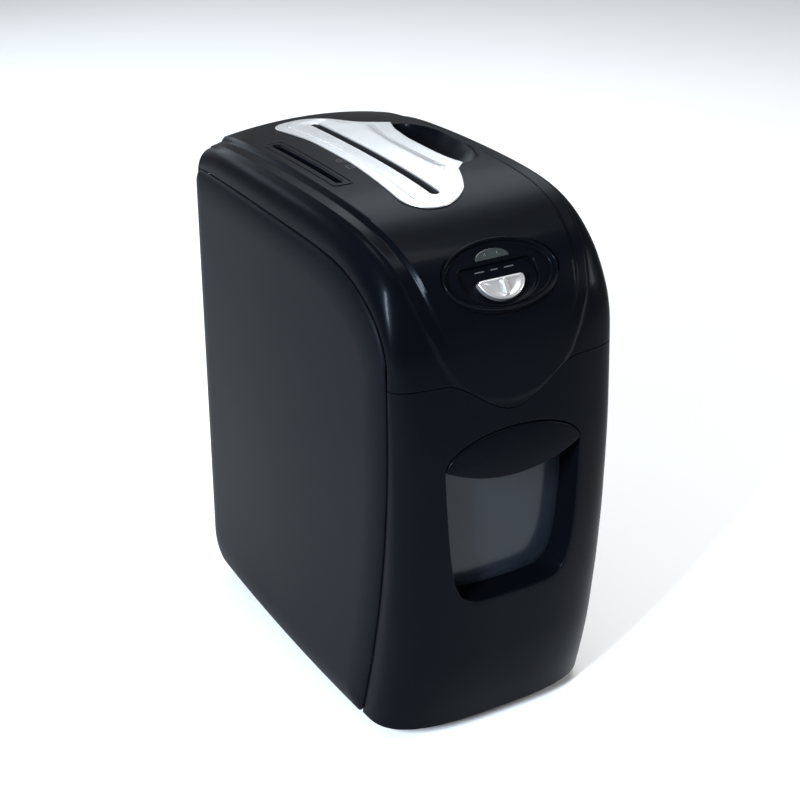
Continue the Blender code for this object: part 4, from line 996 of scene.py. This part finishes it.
def printedMarks():
    # a disc and a card by the disc slot; ticks for the switch's three places and a short bar by each lamp
    discAt, cardAt, cardHalf = np.array((-38, 40)), np.array((-39, 21)), np.array((3.0, 4.4))
    disc = ringMark(ellipse((4.2, 4.2), 48) + discAt, 0.5)
    hub = ringMark(ellipse((1.3, 1.3), 24) + discAt, 0.4)
    card = ringMark(roundedBox(cardAt - cardHalf, cardAt + cardHalf, 0.8), 0.5)
    for name, grid in (("markDisc", disc), ("markHub", hub), ("markCard", card)):
        printed(placed(turnedOut(meshOf(name, grid, wrap=True)), "housing", "silver"))
    face = -control["sink"] - 0.25
    # across, up the slope, half length
    bars = ((-14, 6.5, 4.5), (0, 6.5, 3.5), (14, 6.5, 4.5), (-24, 14.5, 5.5), (24, 14.5, 5.5))
    for index, (x, y, reach) in enumerate(bars):
        loop = roundedBox((x - reach, y - 0.5), (x + reach, y + 0.5), 0.4, 5)
        sink = face - (control["wellSink"] if y < 10 else 0)  # the lower row lies in the well
        rise = [(0.5, 0, sink - 0.2), (1, 0, sink - 0.2), (1, 0, sink + 0.22), (0.6, 0, sink + 0.22)]
        printed(plateLoft("mark" + str(index + 1), loop, rise, "housing", "silver", middle=(x, y)))


controlDish()
modeKnob()
lampWindow()
printedMarks()
print("control panel made")

# pieces kept from the frame: an eased copy of each, and the finish of its slot


def easedCopy(node, width):
    # a merged copy with small rounded edges stands for the node
    source = frame["nodes"][node]
    copy = bpy.data.objects.new(node + "Eased", source.data.copy())
    bpy.context.scene.collection.objects.link(copy)
    turnedOut(copy)
    edges = copy.modifiers.new("edges", "BEVEL")
    edges.width = width * mm
    edges.segments = 2
    edges.limit_method = "ANGLE"
    edges.angle_limit = math.radians(40)
    edges.use_clamp_overlap = True
    weigh = copy.modifiers.new("weigh", "WEIGHTED_NORMAL")
    weigh.keep_sharp = True
    placed(settled(shaded(copy, 40)), source["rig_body"], slots[node], node)


slots = {row["node"]: row["material_slot"] for row in frame["record"]["subparts"]}
for node, source in frame["nodes"].items():
    source.data.materials.clear()
    source.data.materials.append(finishes[slots[node]])
for node in ("bin_tub", "base_tray", "rear_panel", "power_inlet", "runner_left", "runner_right",
             "frame_front", "frame_back", "head_base", "motor_body"):
    easedCopy(node, 0.5)
print("frame pieces finished")

# studio

floor = bpy.data.objects.new("floor", bpy.data.meshes.new("floor"))
floor.data.from_pydata([(-30, -30, 0), (30, -30, 0), (30, 30, 0), (-30, 30, 0)], [], [(0, 1, 2, 3)])
bpy.context.scene.collection.objects.link(floor)
paper = Finish("floorPaper", Roughness=0.9, Specular_IOR_Level=0.1)
paper.feed("Base Color", paper.shades(paper.noise(3, 2), (0.86, 0.86, 0.86), (0.9, 0.9, 0.9)))
floor.data.materials.append(paper.material)

world = bpy.data.worlds.new("studio")
bpy.context.scene.world = world
world.use_nodes = True
world.node_tree.nodes["Background"].inputs["Color"].default_value = (1, 1, 1, 1)
world.node_tree.nodes["Background"].inputs["Strength"].default_value = 0.3


def softbox(name, place, target, size, power, colour=(1, 1, 1)):
    light = bpy.data.lights.new(name, "AREA")
    light.shape = "RECTANGLE"
    light.size, light.size_y = size
    light.energy = power
    light.color = colour
    obj = bpy.data.objects.new(name, light)
    obj.location = place
    obj.rotation_euler = (Vector(target) - Vector(place)).to_track_quat("-Z", "Y").to_euler()
    bpy.context.scene.collection.objects.link(obj)


bpy.context.scene.view_settings.view_transform = "Standard"
softbox("ridgeStrip", (-1.9, -1.1, 1.4), (0, -0.1, 0.4), (0.35, 0.8), 135, (0.78, 0.88, 1))
softbox("top", (0.5, 0.2, 2.8), (0, -0.1, 0.3), (1.6, 1.2), 44)
softbox("sky", (1.1, 1.6, 1.7), (0, 0, 0.42), (1.2, 0.7), 12, (0.82, 0.91, 1))
softbox("back", (-0.5, 2.3, 1.05), (0, 0.1, 0.4), (2.0, 0.5), 13, (0.78, 0.9, 1))
softbox("rightStrip", (1.9, -1.2, 1.1), (0, 0, 0.35), (0.25, 0.9), 16)

lens = {"place": (-700.1, -1216.4, 952.2), "yaw": 29.88, "pitch": 26.67, "roll": 0.09, "focal": 76.85}
camera = bpy.data.objects.new("camera", bpy.data.cameras.new("camera"))
camera.data.lens = lens["focal"]
camera.data.clip_end = 100
camera.location = Vector(lens["place"]) * mm
turns = ((-lens["yaw"], "Z"), (90 - lens["pitch"], "X"), (lens["roll"], "Z"))
yaw, pitch, roll = (Matrix.Rotation(math.radians(angle), 4, axis) for angle, axis in turns)
camera.rotation_euler = (yaw @ pitch @ roll).to_euler()
bpy.context.scene.collection.objects.link(camera)
bpy.context.scene.camera = camera
